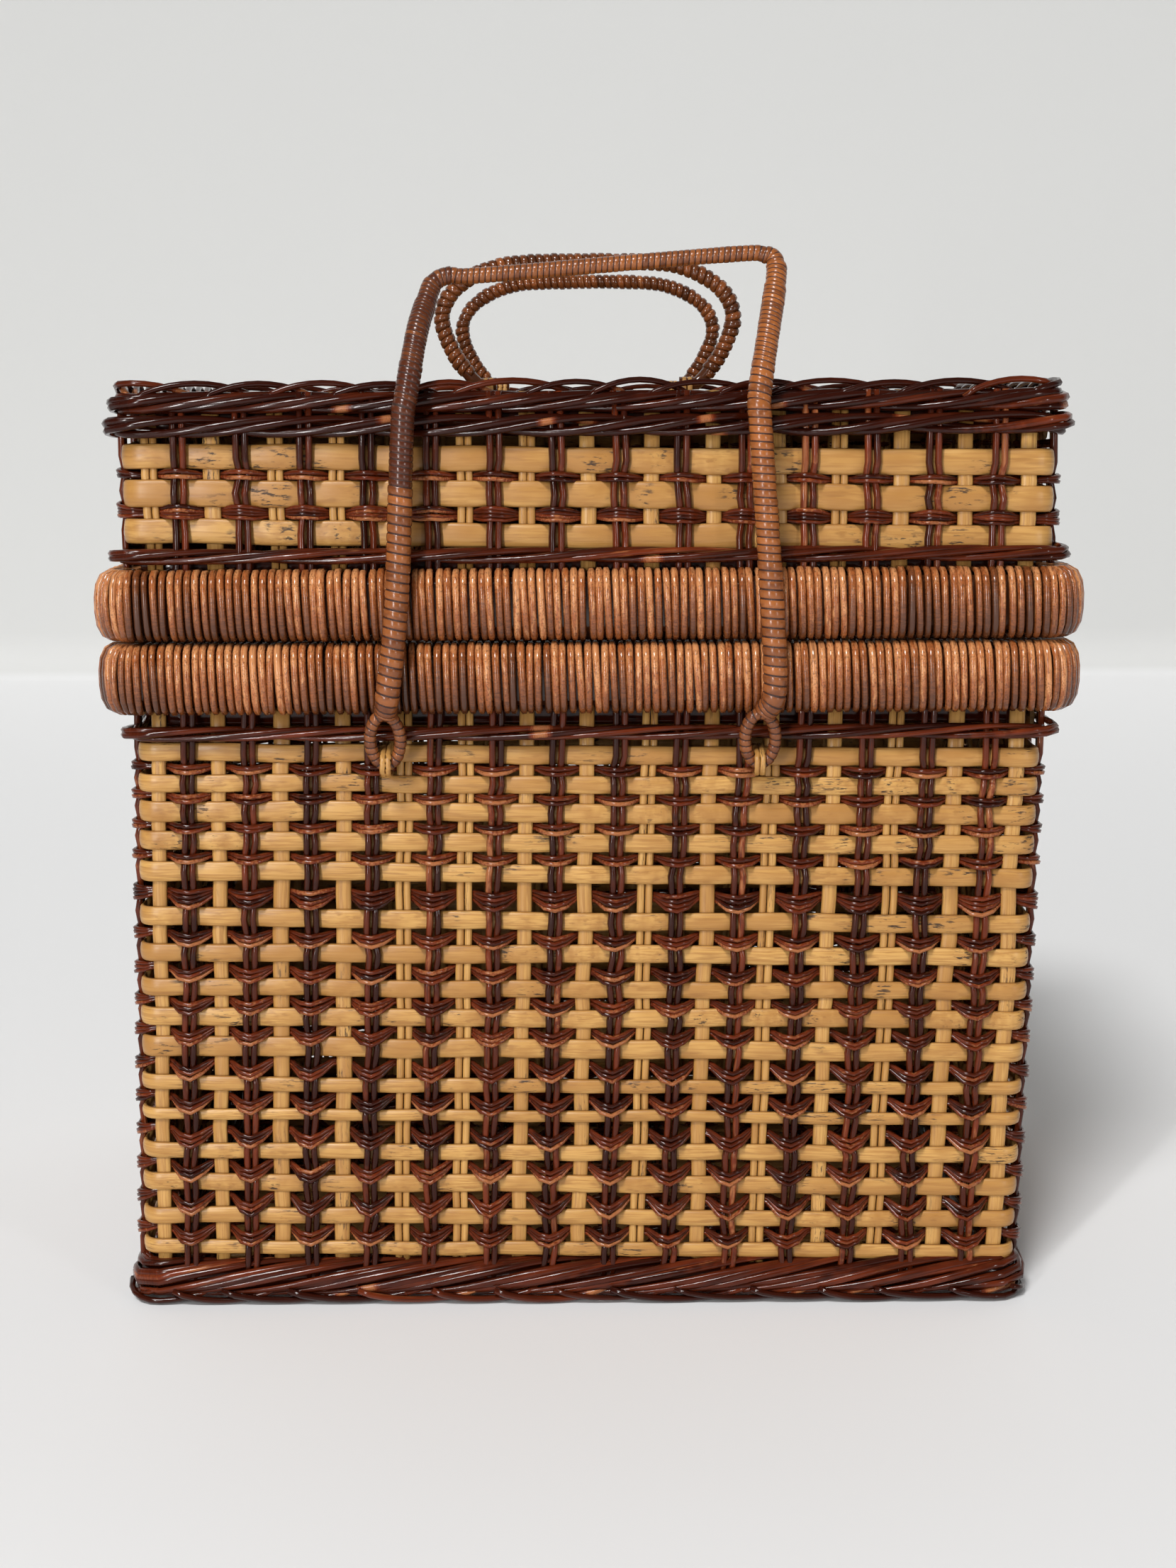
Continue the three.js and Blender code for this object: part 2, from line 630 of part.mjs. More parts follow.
// The bail's middle line: up the left leg, across the bar and down the right leg
function bailLine() {
  const leftDrifts = [LEFT_EYE_DRIFT, LEFT_FOOT_DRIFT, LEFT_RIM_DRIFT, LEFT_WAIST_DRIFT, LEFT_KINK_DRIFT,
    LEFT_NECK_DRIFT, LEFT_CORNER_DRIFT, LEFT_BAR_DRIFT];
  const rightDrifts = [RIGHT_EYE_DRIFT, RIGHT_FOOT_DRIFT, RIGHT_RIM_DRIFT, RIGHT_WAIST_DRIFT,
    RIGHT_KINK_DRIFT, RIGHT_NECK_DRIFT, RIGHT_CORNER_DRIFT, RIGHT_BAR_DRIFT];
  const barTop = lidTop + BAIL_RISE;
  const left = bailLegPoints(leftTieX, leftDrifts, barTop - BAIL_BAR_SLOPE);
  const right = bailLegPoints(rightTieX, rightDrifts, barTop).reverse();
  const points = [...left, ...right].map((point) => new THREE.Vector3(...point));
  return new THREE.CatmullRomCurve3(points, false, 'centripetal');
}

// A tube of round section along a curve
function rodAlong(curve, radius, steps, sides) {
  const section = new THREE.Shape(circlePoints(radius, sides));
  return new THREE.ExtrudeGeometry(section, { steps, extrudePath: curve, bevelEnabled: false });
}

function circlePoints(radius, sides) {
  const points = [];
  for (let i = 0; i < sides; i += 1) {
    const angle = i / sides * 2 * Math.PI;
    points.push(new THREE.Vector2(radius * Math.cos(angle), radius * Math.sin(angle)));
  }
  return points;
}

// A hollow sleeve round part of a curve
function sleeveAlong(curve, from, to, bore, radius) {
  const rings = [];
  for (let i = 0; i <= WRAP_STEPS; i += 1) {
    const at = from + (to - from) * i / WRAP_STEPS;
    const middle = curve.getPointAt(at);
    const along = curve.getTangentAt(at);
    const across = new THREE.Vector3(1, 0, 0).addScaledVector(along, -along.x).normalize();
    const third = new THREE.Vector3().crossVectors(along, across);
    const place = (point) => middle.clone().addScaledVector(across, point.x).addScaledVector(third, point.y);
    rings.push({
      outer: circlePoints(radius, WRAP_SIDES).map(place),
      inner: circlePoints(bore, WRAP_SIDES).map(place),
    });
  }
  const lines = [...rings.map((ring) => ring.outer), ...rings.map((ring) => ring.inner).reverse()];
  return skin(lines, true);
}

// A wrapped eye at the foot of a leg: an upright oval that leans out from the wall
const eyeHalfHeight = Math.hypot(EYE_HEIGHT, EYE_LEAN) / 2;

function bailEye(x) {
  const middle = new THREE.Vector3(x, eyeY - EYE_LEAN / 2, eyeZ + EYE_HEIGHT / 2);
  const side = new THREE.Vector3(1, 0, 0);
  const rise = new THREE.Vector3(0, -EYE_LEAN, EYE_HEIGHT).normalize();
  const out = new THREE.Vector3().crossVectors(side, rise);
  const rings = [];
  for (let i = 0; i < EYE_STEPS; i += 1) {
    const angle = i / EYE_STEPS * 2 * Math.PI;
    const place = middle.clone().addScaledVector(side, EYE_HALF_WIDTH * Math.cos(angle));
    place.addScaledVector(rise, eyeHalfHeight * Math.sin(angle));
    const normal = side.clone().multiplyScalar(eyeHalfHeight * Math.cos(angle));
    normal.addScaledVector(rise, EYE_HALF_WIDTH * Math.sin(angle)).normalize();
    rings.push(circlePoints(EYE_ROD_RADIUS, ROD_SIDES).map((point) => (
      place.clone().addScaledVector(normal, point.x).addScaledVector(out, point.y)
    )));
  }
  return skin(rings, true);
}

// The cane tie that holds an eye to the top band, passing between two stakes
function bailTieLine(x) {
  const shares = strandShares(bodyHalfX - strandInset, bodyHalfY - strandInset);
  const frontRun = bodyHalfX - strandInset - STRAND_CORNER;
  const turn = THREE.MathUtils.mapLinear(x, -frontRun, frontRun, shares[4], shares[5]);
  const bandZ = bodyBandHeight(turn);
  const reach = TIE_CLEARANCE + STRAP_THICKNESS / 2;
  const backY = strandInset + STRAND_THICKNESS / 2 + reach - bodyHalfY;
  const faceY = strandInset - STRAND_THICKNESS / 2 - CLEARANCE - bodyHalfY;
  const bottom = bandZ - BODY_BAND_HEIGHT / 2 - reach;
  const top = bandZ + BODY_BAND_HEIGHT / 2 + reach;
  const share = STRAP_WIDTH / 2 / EYE_HALF_WIDTH;
  const dip = Math.sqrt(1 - share * share);
  const slope = eyeHalfHeight / EYE_HALF_WIDTH * share / dip;
  const slantedRadius = EYE_ROD_RADIUS * Math.hypot(1, slope);
  const swing = eyeHalfHeight * (1 - dip) + slantedRadius + CLEARANCE;
  const front = arcPoints(eyeY, eyeZ, swing + reach, 100, 265, STRAP_BEND_STEPS);
  return [...front, [faceY, bottom], [backY, bottom], [backY, top], [faceY, top]];
}

function addBail() {
  const line = bailLine();
  const rod = toManifold(rodAlong(line, BAIL_ROD_RADIUS, BAIL_ROD_STEPS, ROD_SIDES));
  const eyes = toManifold(bailEye(leftTieX)).add(toManifold(bailEye(rightTieX)));
  addPiece(basket, 'bail_rod', fromManifold(rod.add(eyes)), wrapReed);
  const bore = BAIL_ROD_RADIUS + BAIL_WRAP_BORE_GAP;
  const from = BAIL_WRAP_FROM_EYE / line.getLength();
  const to = from + BAIL_WRAP_LENGTH / line.getLength();
  const leftWrap = sleeveAlong(line, from, to, bore, BAIL_WRAP_RADIUS);
  addPiece(basket, 'bail_leg_wrap_left', leftWrap, wrapReed);
  const rightWrap = sleeveAlong(line, 1 - to, 1 - from, bore, BAIL_WRAP_RADIUS);
  addPiece(basket, 'bail_leg_wrap_right', rightWrap, wrapReed);
  addStrap('bail_tie_left', bailTieLine(leftTieX), leftTieX, paleCane);
  addStrap('bail_tie_right', bailTieLine(rightTieX), rightTieX, paleCane);
}

// Lid handles
const journalZ = panelTop + JOURNAL_LIFT;
const windingReach = HANDLE_CORE_RADIUS + CLEARANCE + WINDING_RADIUS;
const tieX = HANDLE_FOOT_SPACING / 2 - HANDLE_JOURNAL + STRAP_WIDTH / 2 + HANDLE_JOURNAL_END;

// The handle's middle line: a journal turned in at each foot and a loop that is widest half way up
function handleLine() {
  const foot = HANDLE_FOOT_SPACING / 2;
  const wide = HANDLE_WIDTH / 2;
  const half = [
    [foot - HANDLE_JOURNAL, 0],
    [foot - 1.5 * HANDLE_FOOT_BEND, 0],
    [foot - HANDLE_FOOT_BEND, 0],
    [foot, HANDLE_FOOT_BEND],
    [foot + (wide - foot) * HANDLE_FLARE_SHARE, HANDLE_WIDEST_HEIGHT / 2],
  ];
  for (let i = 0; i <= SHOULDER_STEPS; i += 1) {
    const angle = i / SHOULDER_STEPS * Math.PI / 2;
    const rise = (HANDLE_HEIGHT - HANDLE_WIDEST_HEIGHT) * Math.sin(angle);
    half.push([wide - HANDLE_SHOULDER * (1 - Math.cos(angle)), HANDLE_WIDEST_HEIGHT + rise]);
  }
  const mirrored = half.map(([x, z]) => [-x, z]).reverse();
  const points = [...half, ...mirrored].map(([x, z]) => new THREE.Vector3(x, 0, z));
  return new THREE.CatmullRomCurve3(points, false, 'centripetal');
}

// Points on the middle line of the reed wound round a handle
function windingPoints(curve) {
  const startShare = (HANDLE_JOURNAL + WINDING_FROM_JOURNAL) / curve.getLength();
  const steps = WINDING_TURNS * STEPS_PER_TURN;
  const sideways = new THREE.Vector3(0, 1, 0);
  const points = [];
  for (let i = 0; i <= steps; i += 1) {
    const at = startShare + (1 - 2 * startShare) * i / steps;
    const along = curve.getTangentAt(at);
    const outward = new THREE.Vector3().crossVectors(along, sideways).normalize();
    const angle = i / STEPS_PER_TURN * 2 * Math.PI;
    const radial = sideways.clone().multiplyScalar(Math.cos(angle));
    radial.addScaledVector(outward, Math.sin(angle));
    const middle = curve.getPointAt(at).addScaledVector(radial, windingReach);
    points.push({ middle, radial });
  }
  return points;
}

// The winding as one unbroken tube of five sides
function windingTube(points) {
  const rings = points.map(({ middle, radial }, i) => {
    const before = points[Math.max(i - 1, 0)].middle;
    const after = points[Math.min(i + 1, points.length - 1)].middle;
    const along = after.clone().sub(before).normalize();
    const up = radial.clone().addScaledVector(along, -along.dot(radial)).normalize();
    const across = new THREE.Vector3().crossVectors(along, up);
    return circlePoints(WINDING_RADIUS, WINDING_SIDES).map((point) => (
      middle.clone().addScaledVector(up, point.x).addScaledVector(across, point.y)
    ));
  });
  return skin(rings, false);
}

// Least gap between one turn of a winding and the next
function leastWindingGap(points) {
  let least = Infinity;
  for (let i = 0; i < points.length; i += 1) {
    for (let j = i + STEPS_PER_TURN / 2; j < points.length; j += 1) {
      least = Math.min(least, points[i].middle.distanceTo(points[j].middle));
    }
  }
  return least - 2 * WINDING_RADIUS;
}

// The cane tie that holds a handle's journal down through two slots in the lid's top
function handleTieLine(y) {
  const reach = TIE_CLEARANCE + STRAP_THICKNESS / 2;
  const half = HANDLE_CORE_RADIUS + reach;
  const under = panelBottom - reach;
  return [...arcPoints(y, journalZ, half, 0, 180, STRAP_BEND_STEPS), [y - half, under], [y + half, under]];
}

function addHandles() {
  const curve = handleLine();
  const points = windingPoints(curve);
  console.log(`Least gap in a handle's winding: ${leastWindingGap(points).toFixed(2)} mm`);
  for (const [name, y] of [['front', -HANDLE_SPACING / 2], ['rear', HANDLE_SPACING / 2]]) {
    const group = new THREE.Group();
    group.position.set(0, y, journalZ);
    basket.add(group);
    const core = rodAlong(curve, HANDLE_CORE_RADIUS, HANDLE_STEPS, ROD_SIDES);
    addPiece(group, `${name}_handle_core`, core, hoopWood);
    addPiece(group, `${name}_handle_winding`, windingTube(points), darkReed);
    addStrap(`${name}_handle_tie_left`, handleTieLine(y), -tieX, paleCane);
    addStrap(`${name}_handle_tie_right`, handleTieLine(y), tieX, paleCane);
  }
}

// The lid's flat top: dark pairs from front to back stand above its bands; each handle tie has two slots
function addLidPanel() {
  const halfX = lidHalfX - rimInward - CLEARANCE;
  const halfY = lidHalfY - rimInward - CLEARANCE;
  const slotX = STRAP_WIDTH / 2 + CLEARANCE;
  const slotY = STRAP_THICKNESS / 2 + CLEARANCE;
  const legY = HANDLE_CORE_RADIUS + TIE_CLEARANCE + STRAP_THICKNESS / 2;
  const bandTop = panelTop - LID_PAIR_RELIEF;
  let panel = toManifold(boxBetween([-halfX, -halfY, panelBottom], [halfX, halfY, bandTop]));
  const pairs = Math.floor(2 * halfX / STAKE_PITCH);
  for (let i = 0; i < pairs; i += 1) {
    const left = (i - (pairs - 1) / 2) * STAKE_PITCH - STAKE_WIDTH / 2;
    const pair = boxBetween([left, -halfY, panelBottom], [left + STAKE_WIDTH, halfY, panelTop]);
    panel = panel.add(toManifold(pair));
  }
  for (const x of [-tieX, tieX]) {
    for (const handleY of [-HANDLE_SPACING / 2, HANDLE_SPACING / 2]) {
      for (const y of [handleY - legY, handleY + legY]) {
        const low = [x - slotX, y - slotY, panelBottom - CLEARANCE];
        const high = [x + slotX, y + slotY, panelTop + CLEARANCE];
        panel = panel.subtract(toManifold(boxBetween(low, high)));
      }
    }
  }
  addPiece(basket, 'lid_top_panel', fromManifold(panel), darkReed);
}

// Hinges at the back: a reed pin held by cane loops round both rims
const hingeY = lidHalfY + lidRimOutward + HINGE_STAND_OFF;
const hingeZ = bodyRimTop + RIM_GAP / 2;

// A loop round one rim and the pin; up is 1 for the lid's rim and -1 for the body's
function hingeLoopLine(halfY, outward, rimFar, up) {
  const reach = TIE_CLEARANCE + STRAP_THICKNESS / 2;
  const insideY = halfY - rimInward - reach;
  const outsideY = halfY + outward + reach;
  return [
    [insideY, rimFar + up * reach],
    [outsideY, rimFar + up * reach],
    [outsideY, hingeZ + up * HINGE_LOOP_BEND],
    ...arcPoints(hingeY, hingeZ, HINGE_PIN_RADIUS + reach, up * 60, -up * 120, 4),
    [outsideY - HINGE_LOOP_BEND, hingeZ],
    [insideY, hingeZ],
  ];
}

function addHinges() {
  for (const [side, sign] of [['left', -1], ['right', 1]]) {
    const first = HINGE_FIRST_PITCHES;
    const places = [0, 1, 2].map((i) => sign * (first + i * HINGE_LOOP_STEP_PITCHES) * STAKE_PITCH);
    const length = Math.abs(places[2] - places[0]) + 2 * HINGE_PIN_END;
    const shape = new THREE.CylinderGeometry(HINGE_PIN_RADIUS, HINGE_PIN_RADIUS, length, PIN_SIDES);
    const pin = addPiece(basket, `hinge_pin_${side}`, shape, darkReed);
    pin.rotation.z = Math.PI / 2;
    pin.position.set(places[1], hingeY, hingeZ);
    const bodyLine = hingeLoopLine(bodyHalfY, RIM_OUTWARD, bodyRimBottom, -1);
    addStrap(`hinge_body_loop_${side}_inner`, bodyLine, places[0], paleCane);
    addStrap(`hinge_body_loop_${side}_outer`, bodyLine, places[2], paleCane);
    const lidLine = hingeLoopLine(lidHalfY, lidRimOutward, lidRimTop, 1);
    addStrap(`hinge_lid_loop_${side}`, lidLine, places[1], paleCane);
  }
}

addBody();
addLid();
addLidPanel();
addHandles();
addBail();
addHinges();

export default basket;
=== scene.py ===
"""Looks of a woven rattan picnic basket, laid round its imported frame.

Metres, +Z up, and the front faces -Y. Each reed or cane is swept along its own line through the weave.
"""

import json
import math

import bpy
import numpy as np
from bpy.props import FloatProperty, FloatVectorProperty, IntProperty, PointerProperty
from mathutils import Euler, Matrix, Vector


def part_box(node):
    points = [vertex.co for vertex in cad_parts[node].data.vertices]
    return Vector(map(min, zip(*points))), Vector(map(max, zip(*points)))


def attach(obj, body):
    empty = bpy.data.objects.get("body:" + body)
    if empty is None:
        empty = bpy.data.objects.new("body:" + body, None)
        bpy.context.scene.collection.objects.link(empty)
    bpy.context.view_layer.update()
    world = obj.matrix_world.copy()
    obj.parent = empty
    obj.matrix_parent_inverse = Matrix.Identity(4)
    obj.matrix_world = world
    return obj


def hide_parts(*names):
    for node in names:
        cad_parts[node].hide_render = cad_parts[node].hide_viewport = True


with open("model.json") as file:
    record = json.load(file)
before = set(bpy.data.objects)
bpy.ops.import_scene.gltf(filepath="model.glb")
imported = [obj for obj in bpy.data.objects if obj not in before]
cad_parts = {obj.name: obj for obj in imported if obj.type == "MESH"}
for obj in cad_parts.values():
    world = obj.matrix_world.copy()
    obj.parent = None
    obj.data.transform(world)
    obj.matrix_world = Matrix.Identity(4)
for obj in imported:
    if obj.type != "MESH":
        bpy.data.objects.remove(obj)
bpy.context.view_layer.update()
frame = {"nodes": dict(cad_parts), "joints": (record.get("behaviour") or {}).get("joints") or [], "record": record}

bl_info = {
    "name": "Woven Picnic Basket",
    "version": (1, 0, 0),
    "blender": (4, 5, 0),
    "location": "View3D > Sidebar > Basket",
    "description": "Lays the reeds, canes, wrapped rims, bail and handles of a rattan picnic basket",
    "category": "Add Mesh",
}

MM = 0.001
UP = np.array((0.0, 0.0, 1.0))
FRONT = np.array((0.0, -1.0, 0.0))
SIDES = ("front", "right", "back", "left")
ENDS = ("left", "right")
RECORD_BODIES = frame["record"]["behaviour"]["bodies"]
BODY_OF = {node: body for body, nodes in RECORD_BODIES.items() for node in nodes}
PIVOTS = {joint["name"]: joint["pos_m"] for joint in frame["joints"]}


def mm(*values):
    return np.array(values) * MM


def middle(node):
    """Middle of a CAD node's box."""
    low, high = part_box(node)
    return [(first + last) / 2 for first, last in zip(low, high)]


# The hand-made body leans to the left below its rim
RIM_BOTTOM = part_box("body_rim_wrap")[0].z
BASE_LEAN = middle("base_panel")[0]

# Depths inward from the outer face of the dark reeds, and the rounding of the walls' corners
BAND_DEPTH = 4.2 * MM
RIM_INWARD = 11.3 * MM
WALL_CORNER = 6 * MM


# Small geometry


def unit(vectors):
    return vectors / np.linalg.norm(vectors, axis=-1, keepdims=True)


def quarter_turns(points, turns):
    """Turns points about +Z by so many quarter turns each."""
    cos = np.array((1, 0, -1, 0))[turns]
    sin = np.array((0, 1, 0, -1))[turns]
    x, y, z = np.moveaxis(points, -1, 0)
    return np.stack([cos * x - sin * y, sin * x + cos * y, z + 0 * cos], -1)


def eased(share):
    """A share from 0 to 1 that starts and ends gently."""
    share = np.clip(share, 0, 1)
    return share * share * (3 - 2 * share)


def wander(rng, distance, step, size):
    """Slow random change along a distance, with a new aim every step."""
    first = np.min(distance)
    knots = rng.normal(0, size, int((np.max(distance) - first) / step) + 3)
    place = (distance - first) / step
    low = np.floor(place).astype(int)
    return knots[low] + (knots[low + 1] - knots[low]) * eased(place - low)


def spaced(count, pitch):
    return (np.arange(count) - (count - 1) / 2) * pitch


def round_section(radius, sides=6, flat=1.0):
    """A closed ring (across, out), drawn anticlockwise."""
    angle = np.arange(sides) / sides * 2 * math.pi
    return np.stack([radius * np.cos(angle), flat * radius * np.sin(angle)], -1)


# Half widths and heights of a split cane's crown, and the share round it of the crown's middle
CROWN_WIDTHS = np.array((1, 0.95, 0.8, 0.28, -0.28, -0.8, -0.95, -1))
CROWN_HEIGHTS = np.array((0, 0.52, 0.8, 1, 1, 0.8, 0.52, 0))
CROWN_MIDDLE = 3.5 / 8


def split_cane_section(width, thickness):
    """A split cane (across, out): flat on its inner side and gently crowned on its outer side."""
    return np.stack([width / 2 * CROWN_WIDTHS, thickness * (CROWN_HEIGHTS - 0.5)], -1)


def arc(centre, radius, first, last, steps=7):
    """Points (y, z) on an arc, by its angles in degrees."""
    angle = np.radians(np.linspace(first, last, steps))
    return np.stack([centre[0] + radius * np.cos(angle), centre[1] + radius * np.sin(angle)], -1)


class Route:
    """A smooth line through given points, walked by its length."""

    steps = 16
    reach = 0.5 * MM

    def __init__(self, points, closed=False):
        points = np.asarray(points, float)
        if closed:
            padded = np.concatenate([points[-1:], points, points[:2]])
        else:
            before, after = 2 * points[:1] - points[1:2], 2 * points[-1:] - points[-2:-1]
            padded = np.concatenate([before, points, after])
        share = np.linspace(0, 1, self.steps, endpoint=False)[:, None]
        runs = [self.bend(*padded[i:i + 4], share) for i in range(len(padded) - 3)]
        self.line = np.concatenate(runs + [padded[-2:-1]])
        steps_taken = np.linalg.norm(np.diff(self.line, axis=0), axis=-1)
        self.distance = np.concatenate([[0], np.cumsum(steps_taken)])
        self.knots = self.distance[::self.steps]
        self.length = self.distance[-1]

    @staticmethod
    def bend(before, first, last, after, share):
        """One stretch of a Catmull-Rom curve."""
        start = (last - before) / 2
        end = (after - first) / 2
        square, cube = share ** 2, share ** 3
        return ((2 * cube - 3 * square + 1) * first + (cube - 2 * square + share) * start
                + (3 * square - 2 * cube) * last + (cube - square) * end)

    def at(self, distance):
        return np.stack([np.interp(distance, self.distance, axis) for axis in self.line.T], -1)

    def along(self, distance):
        """The direction of the line at these distances."""
        ahead = self.at(np.minimum(distance + self.reach, self.length))
        behind = self.at(np.maximum(distance - self.reach, 0))
        return unit(ahead - behind)


class Ring:
    """A rounded rectangle walked anticlockwise from above, from the left end of the front."""

    def __init__(self, half_x, half_y, corner):
        self.corner = corner
        self.runs = np.array((half_x, half_y, half_x, half_y)) - corner
        self.outs = np.array((half_y, half_x, half_y, half_x)) - corner
        pieces = [length for run in self.runs for length in (2 * run, math.pi / 2 * corner)]
        self.stops = np.concatenate([[0], np.cumsum(pieces)])
        self.length = self.stops[-1]

    def middle(self, wall):
        """Distance of the middle of a wall."""
        return self.stops[2 * wall] + self.runs[wall]

    def at(self, distance):
        """Points at these distances, the directions that face out, and which are in a corner."""
        rest = np.mod(distance, self.length)
        piece = np.clip(np.searchsorted(self.stops, rest, side="right") - 1, 0, 7)
        rest = rest - self.stops[piece]
        wall, turning = piece // 2, piece % 2 == 1
        angle = np.where(turning, rest / self.corner, 0) - math.pi / 2
        x = np.where(turning, self.runs[wall] + self.corner * np.cos(angle), rest - self.runs[wall])
        y = self.corner * np.sin(angle) - self.outs[wall]
        points = quarter_turns(np.stack([x, y, 0 * x], -1), wall)
        out = quarter_turns(np.stack([np.cos(angle), np.sin(angle), 0 * x], -1), wall)
        return points, out, turning


# Strands and the pieces that are made of them


# Spare distance from one strand's marks to the next one's, so that their grain differs
STRAND_GAP = 0.37


class Strands:
    """Swept strands in one mesh. Each point keeps its distance along, its share round and a tone."""

    def __init__(self):
        self.points, self.quads, self.caps, self.marks = [], [], [], []
        self.count = 0
        self.length = 0.0

    def sweep(self, line, facing, section, tone, wide=1.0, deep=1.0, slant=0.0, closed=False):
        """Sweeps a section (across, out) along a line whose outer side is `facing`."""
        line = np.asarray(line, float)
        rows, sides = len(line), len(section)
        step = np.roll(line, -1, 0) - np.roll(line, 1, 0) if closed else np.gradient(line, axis=0)
        along = unit(step)
        facing = np.broadcast_to(facing, line.shape)
        out = unit(facing - along * np.sum(facing * along, -1, keepdims=True))
        across = np.cross(out, along)
        wide = np.broadcast_to(wide, rows)[:, None, None]
        deep = np.broadcast_to(deep, rows)[:, None, None]
        sideways, outward = section[None, :, :1] * wide, section[None, :, 1:] * deep
        shift = along[:, None] * sideways * slant
        ring = line[:, None] + across[:, None] * sideways + out[:, None] * outward + shift
        index = self.count + np.arange(rows * sides).reshape(rows, sides)
        following = np.roll(index, -1, 1)
        quads = np.stack([index, following, np.roll(following, -1, 0), np.roll(index, -1, 0)], -1)
        if not closed:
            quads = quads[:-1]
            self.caps += [index[0, ::-1].tolist(), index[-1].tolist()]
        travelled = np.concatenate([[0], np.cumsum(np.linalg.norm(np.diff(line, axis=0), axis=-1))])
        marks = np.empty((rows, sides, 3))
        marks[..., 0] = (self.length + travelled)[:, None]
        marks[..., 1] = (np.arange(sides) / sides)[None]
        marks[..., 2] = np.broadcast_to(tone, rows)[:, None]
        self.points.append(ring.reshape(-1, 3))
        self.quads.append(quads.reshape(-1, 4))
        self.marks.append(marks.reshape(-1, 3))
        self.count += rows * sides
        self.length += travelled[-1] + STRAND_GAP

    def make(self, name, slot, *nodes):
        """Makes the piece in its slot's finish, to stand for these CAD nodes and ride on their body."""
        quads = np.concatenate(self.quads).tolist()
        mesh = bpy.data.meshes.new(name)
        mesh.from_pydata(np.concatenate(self.points), [], quads + self.caps)
        smooth = np.ones(len(mesh.polygons), bool)
        smooth[len(quads):] = False
        mesh.polygons.foreach_set("use_smooth", smooth)
        marks = mesh.attributes.new("strand", "FLOAT_VECTOR", "POINT")
        marks.data.foreach_set("vector", np.concatenate(self.marks).ravel())
        mesh.materials.append(shared_finish(slot))
        mesh.update()
        piece = bpy.data.objects.new(name, mesh)
        bpy.context.scene.collection.objects.link(piece)
        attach(piece, BODY_OF[nodes[0]])
        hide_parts(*nodes)


# The wall weave


# Half of the front as a share of a turn, and how fast the rows and the widths change beyond it
FRONT_HALF = 0.15
ROWS_FADE = 0.2
WIDTH_FADE = 0.06

# Beyond the front, a band's width as a share, and the share of their sag that the weavers lose
CLOSE_SHARE = 1.34
SAG_LOSS = 0.85


class Weave:
    """Rows of a wall from the top: pale bands, by their height at the front's middle, and weavers."""

    def __init__(self, heights, band, shares, sags, bundles, span, band_tone, rim_tone, reed_share):
        self.heights = np.array(heights) * MM
        self.band = band * MM
        self.shares = np.array(shares)
        self.sags = np.array(sags) * MM
        self.bundles = bundles
        self.span = span
        self.band_tone = band_tone
        self.rim_tone = rim_tone
        self.reed_share = reed_share
        self.rows = len(heights)

    def height(self, turn):
        """Height of the band's middle after so many turns from the middle of the back."""
        step = -np.diff(self.heights).mean()
        ladder = np.concatenate([[self.heights[0] + step], self.heights, [self.heights[-1] - step]])
        uneven = np.interp(turn - 0.5, np.arange(-1, self.rows + 1), ladder)
        even = self.heights[0] - step * (turn - 0.5)
        return uneven + (even - uneven) * self.off_front(turn, ROWS_FADE)

    def gap(self, turn):
        """Height of the weavers' middle, between a row and the next."""
        return (self.height(turn) + self.height(turn + 1)) / 2

    @staticmethod
    def off_front(turn, fade=WIDTH_FADE):
        """0 on the front and 1 on the other walls, whose rows are closer."""
        return eased((np.abs(np.mod(turn, 1) - 0.5) - FRONT_HALF) / fade)

    def share(self, turn):
        """The band's width as a share of the usual."""
        share = np.interp(turn - 0.5, np.arange(self.rows), self.shares)
        return share + (CLOSE_SHARE - share) * self.off_front(turn)

    def sag(self, turn):
        """How far the weavers hang between two stakes."""
        sag = np.interp(turn - 0.5, np.arange(self.rows - 1), self.sags)
        return sag * (1 - SAG_LOSS * self.off_front(turn))


# The hand-made rows, in mm. A bundle is a reed radius, the reeds' offsets, and its first and last turn
WEAVES = {
    "body": Weave(
        heights=(223.6, 211.9, 200.7, 188.7, 176.3, 156.9, 143.4, 129.1,
                 117.6, 105.0, 89.6, 77.0, 61.8, 48.6, 34.9, 21.5),
        band=7.6,
        shares=(1, 0.95, 1.05, 1, 1.05, 1, 1, 0.95, 1, 1.1, 0.75, 0.65, 0.9, 0.95, 0.9, 0.8),
        sags=(0.8, 0.8, 1, 1.4, 2.2, 2.5, 2.8, 3, 3.5, 4.5, 4, 4.5, 4.5, 5.5, 3.5),
        bundles=(
            (1.0, (1, -1), -0.34, 3.8),
            (0.95, (2.7, 0.9, -0.9, -2.7), 3.8, 5.2),
            (0.92, (1.7, 0, -1.7), 5.2, 15.34),
        ),
        span=(-0.34, 16.34),
        band_tone=0.5,
        rim_tone=0.64,
        reed_share=1,
    ),
    "lid": Weave(
        heights=(337.6, 324.4, 308.9),
        band=10,
        shares=(1, 1.05, 0.98),
        sags=(-0.8, -0.8),
        bundles=((0.98, (1, -1), -0.34, 1), (0.86, (2.2, 0.73, -0.73, -2.2), 1, 2.34)),
        span=(-0.34, 3.34),
        band_tone=0.36,
        rim_tone=0.53,
        reed_share=1.03,
    ),
}

# Share of a pitch that the stakes leave free on a wall
STAKE_MARGIN = 0.2

# Points from one stake to the next, times as many in a corner, and a corner's least gap in pitches
STAKE_STEPS = 3
CORNER_STEPS = 3
CORNER_GAP = 0.6

# A band stands out at the pale canes and bends in at the dark pairs
BAND_OUT = 0.6 * MM
BAND_BEND = 0.55 * MM

# A weaver lies behind the pale canes and swings out over the dark pairs
WEAVER_IN = 7.1 * MM
WEAVER_SWING = 6.7 * MM
WEAVER_TONE = 0.42

# The highest tone, of reed whose stain has worn off
WORN_TONE = 1.1


